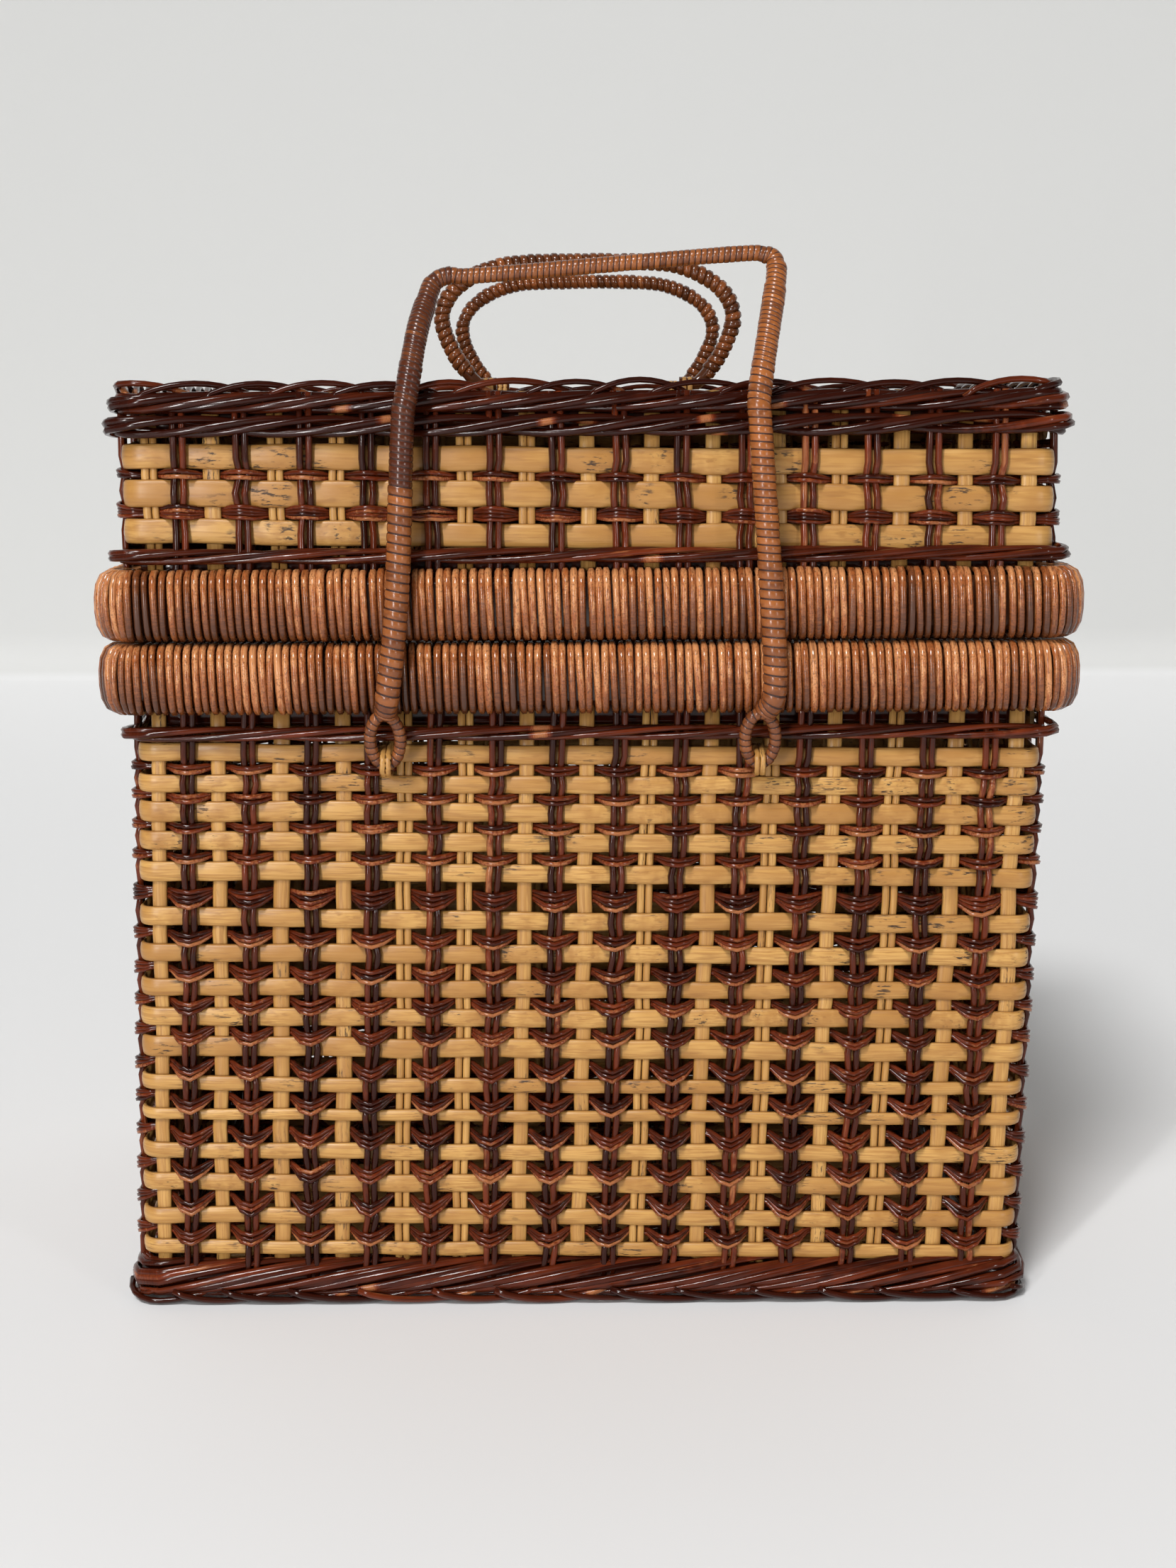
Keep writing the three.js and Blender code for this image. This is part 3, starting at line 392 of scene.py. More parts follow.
class Walls:
    """The four woven walls of the body or the lid. Depth runs inward from the dark reeds' outer face."""

    def __init__(self, part, sizes):
        low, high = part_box(f"{part}_dark_stakes_front")
        self.weave = WEAVES[part]
        self.half_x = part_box(f"{part}_dark_stakes_right")[1].x
        self.half_y = -low.y
        self.bottom, self.top = low.z, high.z
        self.pitch = sizes.stake_pitch
        self.leans = part == "body"
        self.band_ring = self.ring(BAND_DEPTH)
        self.start = self.band_ring.middle(SIDES.index("back"))

    def ring(self, depth, corner=WALL_CORNER):
        return Ring(self.half_x - depth, self.half_y - depth, corner)

    def leaned(self, points):
        if self.leans:
            points[..., 0] += BASE_LEAN * np.maximum(1 - points[..., 2] / RIM_BOTTOM, 0)
        return points

    def beside(self, ring, distance, outward, height):
        """Points beside a ring at these heights, and the directions that face out there."""
        points, out, _ = ring.at(distance)
        points = points + out * np.broadcast_to(outward, distance.shape)[..., None]
        points[..., 2] = height
        return self.leaned(points), out

    def upright(self, wall, along, depth, height):
        """Points on one wall."""
        out = self.half_y if wall % 2 == 0 else self.half_x
        along, depth, height = np.broadcast_arrays(along, depth, height)
        return self.leaned(quarter_turns(np.stack([along, depth - out, height], -1), wall))

    def stakes(self, wall):
        """Places of the dark pairs and of the pale canes along a wall."""
        long_wall = wall % 2 == 0
        half = self.half_x if long_wall else self.half_y
        most = round(2 * half / self.pitch - STAKE_MARGIN)
        counts = (most - 1, most) if long_wall else (most, most - 1)
        return spaced(counts[0], self.pitch), spaced(counts[1], self.pitch)

    def turn(self, wall, along):
        """Share of a turn from the middle of the back to a place on a wall."""
        ring = self.band_ring
        return np.mod(ring.middle(wall) + along - self.start, ring.length) / ring.length

    def crossings(self):
        """Distances of the stakes once round the band's ring, from a pale cane to the same one again."""
        ring = self.band_ring
        stops = [ring.middle(wall) + np.sort(np.concatenate(self.stakes(wall))) for wall in range(4)]
        stops = np.concatenate(stops)
        return np.append(stops, stops[0] + ring.length)

    def travel(self, first, last):
        """Distances from the start for a strand that runs between two turns, close at the corners."""
        stops = self.crossings()
        samples = []
        for left, right in zip(stops[:-1], stops[1:]):
            straight = right - left < CORNER_GAP * self.pitch
            count = STAKE_STEPS if straight else CORNER_STEPS * STAKE_STEPS
            samples.append(left + (right - left) * np.arange(count) / count)
        length = self.band_ring.length
        lap = np.sort(np.mod(np.concatenate(samples) - self.start, length))
        turns = range(math.floor(first), math.ceil(last))
        laps = np.concatenate([lap + turn * length for turn in turns])
        return laps[(laps >= first * length) & (laps <= last * length)]

    def stake_count(self, travel):
        """Stakes passed on the way: whole numbers at dark pairs and halves at pale canes."""
        stops = self.crossings()
        counts = 0.5 + 0.5 * np.arange(len(stops))
        laps, rest = np.divmod(self.start + travel - stops[0], self.band_ring.length)
        return np.interp(rest + stops[0], stops, counts) + laps * (len(stops) - 1) / 2

    def lay_bands(self, strands, sizes, rng):
        """The flat pale band that spirals down, behind the dark pairs and before the pale canes."""
        weave, ring = self.weave, self.band_ring
        travel = self.travel(*weave.span)
        turn = travel / ring.length
        dark = eased(np.abs(1 - 2 * np.mod(self.stake_count(travel), 1)))
        outward = BAND_OUT - BAND_BEND * dark + wander(rng, travel, 0.05, 0.12 * MM)
        height = weave.height(turn) + wander(rng, travel, 0.03, 0.3 * MM)
        uneven = (1 - 0.02 * dark) * (1 + wander(rng, travel, 0.07, 0.03))
        tone = weave.band_tone + wander(rng, travel, 0.09, 0.2)
        line, out = self.beside(ring, self.start + travel, outward, height)
        section = split_cane_section(1, sizes.band_thickness)
        strands.sweep(line, out, section, tone, wide=weave.band * weave.share(turn) * uneven)

    def lay_weavers(self, strands, rng):
        """Thin dark reeds between the bands, over the dark pairs and behind the pale canes."""
        weave, ring = self.weave, self.band_ring
        for radius, offsets, first, last in weave.bundles:
            travel = self.travel(first, last)
            turn = travel / ring.length
            count = self.stake_count(travel)
            bow = np.floor(count + 0.5).astype(int)
            phase = count - bow
            over = eased((0.4 - np.abs(phase)) / 0.28)
            bend = np.minimum(np.hypot(phase + 0.04, 0.02) / 0.4, 1)
            row = weave.height(turn) - weave.height(turn + 1)
            room = (row - weave.band * weave.share(turn)) / 2
            fit = np.clip((room + 0.6 * MM) / (offsets[0] + radius) / MM, 0, 1)
            bunch = fit * (1 - (0.5 - 0.42 * weave.off_front(turn)) * (1 - over))
            clear = np.clip(1.25 - 3 * np.abs(phase), 0.2, 1)
            for index, offset in enumerate(offsets):
                uneven = wander(rng, travel, 0.012, 0.15 * MM)
                outward = BAND_DEPTH - WEAVER_IN + WEAVER_SWING * over + uneven
                dip = weave.sag(turn) * (1 + 0.12 * index) * (bend - 0.72)
                height = weave.gap(turn) + dip + offset * MM * bunch
                height = height + wander(rng, travel, 0.012, 0.2 * MM)
                lowest = index == len(offsets) - 1
                usual, spread = (0.68, 0.25) if lowest else (WEAVER_TONE, 0.15)
                bows = rng.normal(usual, spread, np.ptp(bow) + 1)
                tone = WEAVER_TONE + (bows[bow - bow.min()] - WEAVER_TONE) * clear
                line, out = self.beside(ring, self.start + travel, outward, height)
                strands.sweep(line, out, round_section(radius * MM, 5), tone)

    def knots(self, wall, along, weaver_drop):
        """Heights where a stake meets the rows, from its top: bands and weavers in turn."""
        weave = self.weave
        rows = self.turn(wall, along) + np.arange(weave.rows)
        heights = np.empty(2 * weave.rows + 1)
        heights[0], heights[-1] = self.top, self.bottom
        heights[1:-1:2] = weave.height(rows)
        heights[2:-1:2] = weave.gap(rows[:-1]) + weaver_drop * weave.sag(rows[:-1])
        return heights

    def lay_dark_reeds(self, strands, sizes, rng, wall):
        """Pairs of dark reeds that stand outside the bands and are held in by the weavers."""
        radius = sizes.dark_reed_radius * self.weave.reed_share
        facing = quarter_turns(FRONT, wall)
        for along in self.stakes(wall)[0]:
            heights = self.knots(wall, along, -0.6)
            places = np.arange(len(heights))
            on_weaver = np.where(places % 2 == 0, 1.0, 0.0)
            on_weaver[[0, -1]] = 0.3
            steps = np.arange(0, len(heights) - 0.75, 0.5)
            height = np.interp(steps, places, heights)
            held = np.interp(steps, places, on_weaver)
            depth = (1.5 + 1.3 * held) * MM
            sway = wander(rng, steps, 1.0, 0.4 * MM)
            for sign in (-1, 1):
                apart = sign * radius * (1.28 - 0.15 * held + wander(rng, steps, 1.5, 0.07))
                uneven = wander(rng, steps, 1.5, 0.12 * MM)
                line = self.upright(wall, along + sway + apart, depth + uneven, height)
                tone = 0.4 + rng.normal(0, 0.13) + wander(rng, steps, 4, 0.1)
                strands.sweep(line, facing, round_section(radius), tone)

    def lay_pale_canes(self, strands, sizes, rng, wall):
        """Pale stakes inside the bands: one wide split cane, or two narrow ones side by side."""
        width = sizes.pale_cane_width
        single = ((0, width),)
        double = ((-0.26 * width, 0.5 * width), (0.26 * width, 0.5 * width))
        facing = quarter_turns(FRONT, wall)
        for along in self.stakes(wall)[1]:
            heights = self.knots(wall, along, 0.4)
            places = np.arange(len(heights))
            on_band = np.where(places % 2 == 1, 1.0, 0.0)
            on_band[[0, -1]] = 0.5
            depth = (4.9 + 1.6 * on_band) * MM
            sway = rng.normal(0, 0.4 * MM) + wander(rng, places, 3, 0.4 * MM)
            for shift, cane_width in single if rng.random() < 0.55 else double:
                line = self.upright(wall, along + sway + shift, depth, heights)
                tone = 0.5 + rng.normal(0, 0.2)
                section = split_cane_section(cane_width * rng.normal(1, 0.04), 2 * MM)
                strands.sweep(line, facing, section, tone)

    def lay_rope(self, strands, rng, centre, reach, pitch, groups, fibres, radius, tone, flat=1.0):
        """Reeds twisted round the wall. `centre` is a depth and a height, `reach` half the size."""
        ring = self.ring(centre[0])
        twists = round(ring.length / pitch)
        distance = np.linspace(0, ring.length, round(ring.length / (5 * MM)), endpoint=False)
        ends = np.sin(math.pi * distance / ring.length)
        for group in range(groups):
            for fibre in range(fibres):
                swell = 1 + wander(rng, distance, 0.05, 0.1) * ends
                uneven = wander(rng, distance, 0.05, 0.035) * ends
                place = group / groups + 0.7 * fibre / groups / fibres + uneven
                angle = 2 * math.pi * (distance / ring.length * twists + place)
                outward = reach[0] * np.cos(angle) * swell
                height = centre[1] + reach[1] * np.sin(angle) * swell
                line, out = self.beside(ring, distance, outward, height)
                facing = out * np.cos(angle)[:, None] + UP * np.sin(angle)[:, None]
                tones = tone + rng.normal(0, 0.08) + wander(rng, distance, 0.05, 0.14) * ends
                tones[rng.random(len(distance)) < 0.012] = WORN_TONE
                section = round_section(radius * rng.normal(1, 0.06), 6, flat)
                strands.sweep(line, facing, section, tones, closed=True)

    def lay_core(self, strands, centre, half):
        """A plain dark reed inside or behind a rope, which keeps light from showing through it."""
        ring = self.ring(centre[0])
        distance = np.linspace(0, ring.length, 160, endpoint=False)
        line, out = self.beside(ring, distance, 0, centre[1])
        strands.sweep(line, out, round_section(1, 8), 0.0, wide=half[1], deep=half[0], closed=True)

    def lay_arches(self, strands, rng, centre, reach, pitch, radius, corner=WALL_CORNER):
        """Bent reed ends that arch over the edge of a border, each over half of the next."""
        ring = self.ring(centre[0], corner)
        count = round(ring.length / pitch)
        share = np.linspace(0, 1, 11)
        for index in range(count):
            span = pitch * rng.normal(1.9, 0.15)
            distance = index / count * ring.length + span * (share - 0.5)
            outward = reach[0] * (1 - 2 * share)
            rise = np.sin(math.pi * share) ** 0.7
            height = centre[1] + reach[1] * rise * rng.normal(0.95, 0.05)
            line, out = self.beside(ring, distance, outward, height)
            tone = np.full(len(share), 0.25 + rng.normal(0, 0.13))
            tone[-2:] = rng.choice((0.4, 1.2))
            section = round_section(radius * rng.normal(1, 0.08))
            strands.sweep(line, out + 0.6 * UP, section, tone)

    def lay_rim(self, strands, sizes, rng, node):
        """Reed wrapped round a rim, one turn beside the next."""
        low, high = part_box(node)
        reed = sizes.rim_reed_radius
        sunk = 0.6 * reed
        proud = high.x - self.half_x
        ring = Ring(high.x - sunk, high.y - sunk, WALL_CORNER + proud)
        tall = high.z - low.z - 2 * sunk
        self.lay_core(strands, (-3 * MM, (low.z + high.z) / 2), mm(0.8, 10.5))
        inset, lift = self.rim_loop(proud + RIM_INWARD - reed, tall)
        # Painted light: the tone rises towards the top of each turn and falls towards its foot, a painted
        # highlight on the rim's upper part and painted shade on its lower part.
        wear_and_painted_light = 0.6 * (lift / tall - 0.5)
        count = round(ring.length / sizes.rim_wrap_pitch)
        places = (np.arange(count) + rng.normal(0, 0.06, count)) / count * ring.length
        groups = wander(rng, places, 0.045, 0.16)
        darker = np.minimum(wander(rng, places, 0.02, 0.5) + 0.8, 0)
        for place, shade in zip(places, self.weave.rim_tone + groups + darker):
            slant = rng.normal(0.9, 0.35) * MM
            points, out, turning = ring.at(place + slant * (0.5 - lift / tall))
            shrink = np.where(turning, np.minimum(inset, ring.corner - reed), inset)
            shrink = shrink - rng.normal(0, 0.12) * MM
            line = points - out * shrink[:, None]
            line[:, 2] = low.z + sunk + lift * rng.normal(1, 0.006)
            section = round_section(reed * rng.normal(1, 0.05))
            tone = np.clip(shade + rng.normal(0, 0.17) + wear_and_painted_light, 0, WORN_TONE)
            strands.sweep(line, line - line.mean(0), section, tone, closed=True)

    @staticmethod
    def rim_loop(deep, tall):
        """One turn, up the outer face first: insets from that face and lifts from the foot."""
        outer, upright, inner = 4.6 * MM, 9.5 * MM, 4 * MM
        swing, hidden = np.linspace(0, math.pi / 2, 4), np.array((0, math.pi / 2))
        opening, closing = 1 - np.sin(swing), 1 - np.cos(swing)
        first, last = inner * (1 - np.sin(hidden)), inner * (1 - np.cos(hidden))
        insets = (outer * opening, outer * closing, deep - first, deep - last)
        lifts = (upright * closing, tall - upright * opening, tall - last, first)
        return np.concatenate(insets), np.concatenate(lifts)


# Flat weaves of the lid's top and the floor


ROW_PITCH = 13.6 * MM


class Panel:
    """A flat weave in a panel's box, with its dark reeds on the upper side."""

    def __init__(self, node, sizes):
        low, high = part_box(node)
        self.middle = (low + high) / 2
        self.half_x, self.half_y, half_z = (high - low) / 2
        self.layer = half_z / 2.5
        self.pitch = sizes.stake_pitch
        self.rows = spaced(int(2 * self.half_y / ROW_PITCH), ROW_PITCH)
        self.between = (self.rows[:-1] + self.rows[1:]) / 2
        self.stops = np.sort(np.concatenate([self.rows, self.between, [-self.half_y, self.half_y]]))
        self.along = np.linspace(-self.half_x, self.half_x, round(2 * self.half_x / (self.pitch / 5)))
        self.dark = np.cos(2 * math.pi * (self.along / self.pitch - 0.5))
        self.pairs = int(2 * self.half_x / self.pitch)

    def spot(self, x, y, layers):
        """Points of the panel. The height is in layers from its middle."""
        return np.stack(np.broadcast_arrays(x, y, layers * self.layer), -1) + np.array(self.middle)

    def lay_dark(self, strands, rng):
        """Dark pairs from front to back, and thin weavers from side to side over them."""
        held = np.where(np.arange(len(self.stops)) % 2 == 0, 1.0, 0.0)
        for x in spaced(self.pairs, self.pitch):
            sway = wander(rng, self.stops, 0.03, 0.4 * MM)
            for sign in (-1, 1):
                line = self.spot(x + sway + sign * 1.8 * MM, self.stops, 1.25 - 0.7 * held)
                strands.sweep(line, UP, round_section(1.25 * MM), 0.4 + rng.normal(0, 0.13))
        over = eased(0.5 + 0.8 * self.dark)
        for y in self.between:
            for sign in (-1, 1):
                sway = wander(rng, self.along, 0.02, 0.3 * MM)
                line = self.spot(self.along, y + sign * 0.95 * MM + sway, 3.5 * over - 1.75)
                strands.sweep(line, UP, round_section(0.9 * MM, 5), 0.45 + rng.normal(0, 0.13))

    def lay_pale(self, strands, sizes, rng):
        """Pale canes from front to back, and flat bands from side to side above them."""
        under = np.where(np.arange(len(self.stops)) % 2 == 1, 1.0, 0.0)
        cane = split_cane_section(sizes.pale_cane_width, 1.8 * MM)
        for x in spaced(self.pairs - 1, self.pitch):
            sway = wander(rng, self.stops, 0.05, 0.4 * MM)
            line = self.spot(x + sway, self.stops, -0.5 - 0.9 * under)
            strands.sweep(line, UP, cane, 0.5 + rng.normal(0, 0.2))
        band = split_cane_section(1, 1.4 * MM)
        for y in self.rows:
            sway = wander(rng, self.along, 0.04, 0.3 * MM)
            line = self.spot(self.along, y + sway, -0.1 - 0.35 * self.dark)
            wide = 9.4 * MM * (1 - 0.04 * self.dark)
            tone = 0.5 + rng.normal(0, 0.1) + wander(rng, self.along, 0.09, 0.15)
            strands.sweep(line, UP, band, tone, wide=wide)


# Wrapped rods and tied loops


# One turn of a wrap: places as shares of its pitch, how it swells there, and the slant of the turns
WRAP_SHARES = np.array((0, 0.12, 0.35, 0.65, 0.88))
WRAP_SWELL = mm(-0.4, -0.06, 0.06, 0.06, -0.06)
WRAP_FULL_PITCH = 4 * MM
WRAP_SLANT = 0.14
WRAP_FACING = (0.0, -1.0, 0.02)
JOINT_TONE = -1.0


def wrap_rod(strands, route, stretches, rng, sides=12, closed=False):
    """Cane wrapped round a rod. A stretch is its end, pitch and radius, in mm, and its tone."""
    distance, radius, tone = [], [], []
    place = 0.0
    for *sizes, shade in stretches:
        end, pitch, thick = mm(*sizes)
        turns = max(round((end - place) / pitch), 1)
        pitch = (end - place) / turns
        for turn in range(turns):
            size = thick * rng.normal(1, 0.012)
            distance.append(place + pitch * (turn + WRAP_SHARES))
            radius.append(size + WRAP_SWELL * min(pitch / WRAP_FULL_PITCH, 1))
            tone.append([JOINT_TONE] + [shade + rng.normal(0, 0.08)] * 4)
        place = end
    distance, radius, tone = (np.concatenate(values) for values in (distance, radius, tone))
    strands.sweep(route.at(distance), WRAP_FACING, round_section(1, sides), tone, wide=radius,
                  deep=radius, slant=WRAP_SLANT, closed=closed)


def lay_coil(strands, route, first, last, pitch, reach, radius, rng, tone):
    """A reed wound round a line that lies across the basket."""
    turns = round((last - first) / pitch)
    angle = np.linspace(0, 2 * math.pi * turns, turns * 10)
    distance = first + (last - first) * angle / angle[-1]
    rise = np.cross(route.along(distance), FRONT)
    swell = reach * (1 + wander(rng, distance, pitch, 0.05))
    facing = FRONT * np.cos(angle)[:, None] + rise * np.sin(angle)[:, None]
    tones = tone + wander(rng, distance, pitch, 0.12)
    line = route.at(distance) + facing * swell[:, None]
    strands.sweep(line, facing, round_section(radius, 6, 0.55), tones)


def cut_corners(points, ease):
    """A closed outline (y, z) with each corner replaced by two points."""
    points = np.asarray(points, float)
    cut = []
    for before, here, after in zip(np.roll(points, 1, 0), points, np.roll(points, -1, 0)):
        for other in (before, after):
            away = other - here
            reach = np.linalg.norm(away)
            cut.append(here + away / reach * min(ease, 0.4 * reach))
    return np.array(cut)


# Places along X of a tie's turns from its middle, and the cane's width and thickness
TIE_PLACES = mm(-1.1, 1.1)
TIE_CANE = mm(2.1, 1)
HINGE_PLACES = mm(-1.4, 0, 1.4)
HINGE_CANE = mm(1.4, 1)
HALF_CANE = 0.5 * MM


def make_tie(node, parts, places, cane, ease, rng):
    """A tie of split cane: turns side by side along X, in a closed outline (y, z) of these parts."""
    points = cut_corners(np.concatenate(parts), ease)
    ahead = np.roll(points, -1, 0)
    area = np.sum(points[:, 0] * ahead[:, 1] - ahead[:, 0] * points[:, 1])
    step = (ahead - np.roll(points, 1, 0)) * math.copysign(1, area)
    facing = np.stack([0 * step[:, 0], step[:, 1], -step[:, 0]], -1)
    strands = Strands()
    for x in middle(node)[0] + places:
        line = np.concatenate([np.full((len(points), 1), x), points], 1)
        line[:, 0] += rng.normal(0, 0.15 * MM, len(points))
        section = split_cane_section(*cane)
        strands.sweep(line, facing, section, 0.5 + rng.normal(0, 0.2), closed=True)
    strands.make(f"{node}_cane", "pale_cane", node)


# The bail's drift along X from a tie: eye, foot, rim, waist, kink, neck, three points of the elbow, bar
LEFT_DRIFTS = mm(0.5, 2, 6, 9, 10.5, 14.5, 17.5, 20.5, 27, 40)
RIGHT_DRIFTS = mm(1.5, 5, 3.5, -1, -1.5, 2, 5.2, 5.4, 1.5, -14)
EYE_HALF_WIDTH = 5.8 * MM
EYE_HEIGHT = 20 * MM
EYE_LEAN = 5.5 * MM
LEG_CLEARANCE = 5 * MM
KINK_DROP = 6 * MM
BAR_SETBACK = 21.5 * MM
BAR_RISE = 46.5 * MM
BAR_SLOPE = 7 * MM


def bail_leg(side, drifts, bar):
    """Points of one leg from its eye to the bar, which is at this height."""
    eye_y, eye_z = PIVOTS["bail_swing"][1:]
    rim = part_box("lid_rim_wrap")[0]
    leg_y = rim.y - LEG_CLEARANCE
    bar_y = leg_y + BAR_SETBACK
    eye_top = eye_z + EYE_HEIGHT
    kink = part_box("lid_top_border")[1].z - KINK_DROP
    depths = (eye_y - EYE_LEAN, leg_y, leg_y, leg_y + 1.2 * MM, leg_y + 2.5 * MM, leg_y + 8 * MM,
              bar_y - 6 * MM, bar_y - 1.5 * MM, bar_y, bar_y)
    heights = (eye_top, eye_top + 10 * MM, rim.z + 17 * MM, kink - 12 * MM, kink, kink + 23 * MM,
               bar - 11 * MM, bar - 3 * MM, bar, bar)
    return np.stack([middle(f"bail_tie_{side}")[0] + drifts, depths, heights], -1)


def bail_route():
    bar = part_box("lid_top_border")[1].z + BAR_RISE
    left = bail_leg("left", LEFT_DRIFTS, bar - BAR_SLOPE)
    right = bail_leg("right", RIGHT_DRIFTS, bar)
    return Route(np.concatenate([left, right[::-1]]))


def eye_route(side):
    eye_y, eye_z = PIVOTS["bail_swing"][1:]
    angle = np.linspace(0, 2 * math.pi, 24, endpoint=False)
    rise = 0.5 + 0.5 * np.sin(angle)
    x = middle(f"bail_tie_{side}")[0] + EYE_HALF_WIDTH * np.cos(angle)
    return Route(np.stack([x, eye_y - EYE_LEAN * rise, eye_z + EYE_HEIGHT * rise], -1), closed=True)


def bail_stretches(route):
    """The bail's wrap from its left foot, in mm: end, pitch, radius and tone of each stretch."""
    reach = route.length / MM
    left, right = (route.knots[len(LEFT_DRIFTS) + step] / MM for step in (-2, 1))
    return (
        (6, 2.2, 4.5, 0.5),
        (88, 3.5, 4.7, 0.6),
        (134, 2.4, 4.5, 0.12),
        (left - 17, 1.6, 4.3, 0.25),
        (left - 8, 1.7, 3.9, 0.3),
        (left, 1.8, 3.4, 0.35),
        (right, 2.2, 3, 0.6),
        (right + 7, 1.8, 3.4, 0.7),
        (right + 16, 1.7, 3.9, 0.72),
        (reach - 134, 1.7, 4.3, 0.7),
        (reach - 60, 3, 4.5, 0.72),
        (reach - 6, 3.5, 4.7, 0.62),
        (reach, 2.2, 4.5, 0.5),
    )


# A handle's turned-in foot, in mm from its middle and from its pivot, and the shoulder above it
FOOT_X = (36.5, 41.5, 43.5, 47.5, 53.8)
FOOT_Z = (0, 0, 0, 4, 13)
SHOULDER_X, SHOULDER_Z = 58, 26
SHOULDER_WIDTH, SHOULDER_HEIGHT = 36, 21.5

# A handle's core and the winding on it, which leaves the feet free
HANDLE_CORE = 2.6 * MM
WINDING_REACH = 2.55 * MM
FREE_FOOT = 13 * MM
HANDLE_TIE_BEND = 2.25 * MM
TIE_UNDER = 0.85 * MM


def handle_route(name):
    """Middle line of a handle, from one turned-in foot to the other."""
    _, y, z = PIVOTS[f"{name}_handle_fold"]
    swing = np.radians((0, 30, 60, 90))
    half_x = np.concatenate([FOOT_X, SHOULDER_X - SHOULDER_WIDTH * (1 - np.cos(swing))])
    half_z = np.concatenate([FOOT_Z, SHOULDER_Z + SHOULDER_HEIGHT * np.sin(swing)])
    x = np.concatenate([half_x, -half_x[::-1]]) * MM
    rise = np.concatenate([half_z, half_z[::-1]]) * MM
    return Route(np.stack([x, 0 * x + y, rise + z], -1))


# Finishes


class Value:
    """A number that a shader works out, written with Python's own arithmetic."""

    def __init__(self, finish, socket):
        self.finish = finish
        self.socket = socket

    def math(self, operation, first, second):
        return self.finish.node("ShaderNodeMath", {"operation": operation}, {0: first, 1: second})

    def __add__(self, other):
        return self.math("ADD", self, other)

    def __radd__(self, other):
        return self.math("ADD", other, self)

    def __sub__(self, other):
        return self.math("SUBTRACT", self, other)

    def __rsub__(self, other):
        return self.math("SUBTRACT", other, self)

    def __mul__(self, other):
        return self.math("MULTIPLY", self, other)

    def __rmul__(self, other):
        return self.math("MULTIPLY", other, self)


class Finish:
    """The nodes of one material."""

    def __init__(self, name):
        self.material = bpy.data.materials.new(name)
        self.material.use_nodes = True
        self.tree = self.material.node_tree
        self.tree.nodes.clear()

    def node(self, kind, settings=None, sockets=None, output=0):
        """Adds a node: its settings first, then the values or links of its sockets."""
        made = self.tree.nodes.new(kind)
        for name, value in (settings or {}).items():
            setattr(made, name, value)
        for key, value in (sockets or {}).items():
            if isinstance(value, Value):
                self.tree.links.new(value.socket, made.inputs[key])
            else:
                made.inputs[key].default_value = value
        return Value(self, made.outputs[output])

    def parts(self, vector):
        return [self.node("ShaderNodeSeparateXYZ", None, {0: vector}, axis) for axis in range(3)]

    def strand(self):
        """Distance along a strand, share round it and its tone."""
        return self.parts(self.node("ShaderNodeAttribute", {"attribute_name": "strand"}, output=1))

    def place(self):
        """Place on the object, in metres."""
        return self.parts(self.node("ShaderNodeTexCoord", output=3))

    def noise(self, x, y, z, detail=2.0, roughness=0.5):
        place = self.node("ShaderNodeCombineXYZ", None, {0: x, 1: y, 2: z})
        sockets = {"Vector": place, "Scale": 1.0, "Detail": detail, "Roughness": roughness}
        return self.node("ShaderNodeTexNoise", None, sockets)

    def above(self, value, low, high):
        """0 below low, 1 above high and smooth between."""
        settings = {"interpolation_type": "SMOOTHSTEP"}
        return self.node("ShaderNodeMapRange", settings, {0: value, 1: low, 2: high, 3: 0.0, 4: 1.0})

    def mix(self, share, *colours):
        """Two colours by a share. A plain colour is three numbers."""
        first, last = (colour if isinstance(colour, Value) else (*colour, 1.0) for colour in colours)
        return self.node("ShaderNodeMix", {"data_type": "RGBA"}, {0: share, 6: first, 7: last}, 2)

    def bump(self, height, distance, strength):
        sockets = {"Strength": strength, "Distance": distance, "Height": height}
        return self.node("ShaderNodeBump", None, sockets)

    def done(self, **sockets):
        """Closes the material with a principled shader."""
        titles = (name.replace("_", " ").title().replace("Ior", "IOR") for name in sockets)
        shader = self.node("ShaderNodeBsdfPrincipled", None, dict(zip(titles, sockets.values())))
        output = self.tree.nodes.new("ShaderNodeOutputMaterial")
        self.tree.links.new(shader.socket, output.inputs["Surface"])
        return self.material


def pale_cane(finish, colours):
    """Split cane with fine fibres, brown streaks, dark specks and painted shade along the edges of its crown."""
    along, across, tone = finish.strand()
    fibre = finish.noise(along * 45, across * 22, tone * 20, 3)
    cloud = finish.noise(along * 40, across * 2, tone * 30 + 5)
    streaks = finish.above(finish.noise(along * 50, across * 10, tone * 40, 3), 0.53, 0.7)
    dirty = finish.above(finish.noise(along * 16, across * 0.8, tone * 25 + 9), 0.54, 0.66)
    specks = finish.above(finish.noise(along * 150, across * 15, tone * 33, 3, 0.65), 0.54, 0.63) * dirty
    light = finish.above(tone * 0.5 + cloud * 0.75, 0.36, 0.9)
    # Painted shade: the cane darkens towards the edges of its crown, where it rounds off.
    off_middle = across - CROWN_MIDDLE
    edge = finish.above(off_middle * off_middle, 0.05, 0.19)
    colour = finish.mix(light, colours.pale_cane_deep, colours.pale_cane)
    colour = finish.mix(streaks * 0.6, colour, colours.pale_cane_streak_and_edge_shade)
    colour = finish.mix(finish.above(fibre, 0.42, 0.66) * 0.75, colour, colours.pale_cane_deep)
    colour = finish.mix(edge * 0.7, colour, colours.pale_cane_streak_and_edge_shade)
    colour = finish.mix(specks * 0.9, colour, colours.dirt)
    roughness = 0.25 + fibre * 0.2 + specks * 0.2
    normal = finish.bump(fibre + cloud * 0.6, 0.18 * MM, 0.5)
    return finish.done(base_color=colour, roughness=roughness, normal=normal, specular_ior_level=0.4)


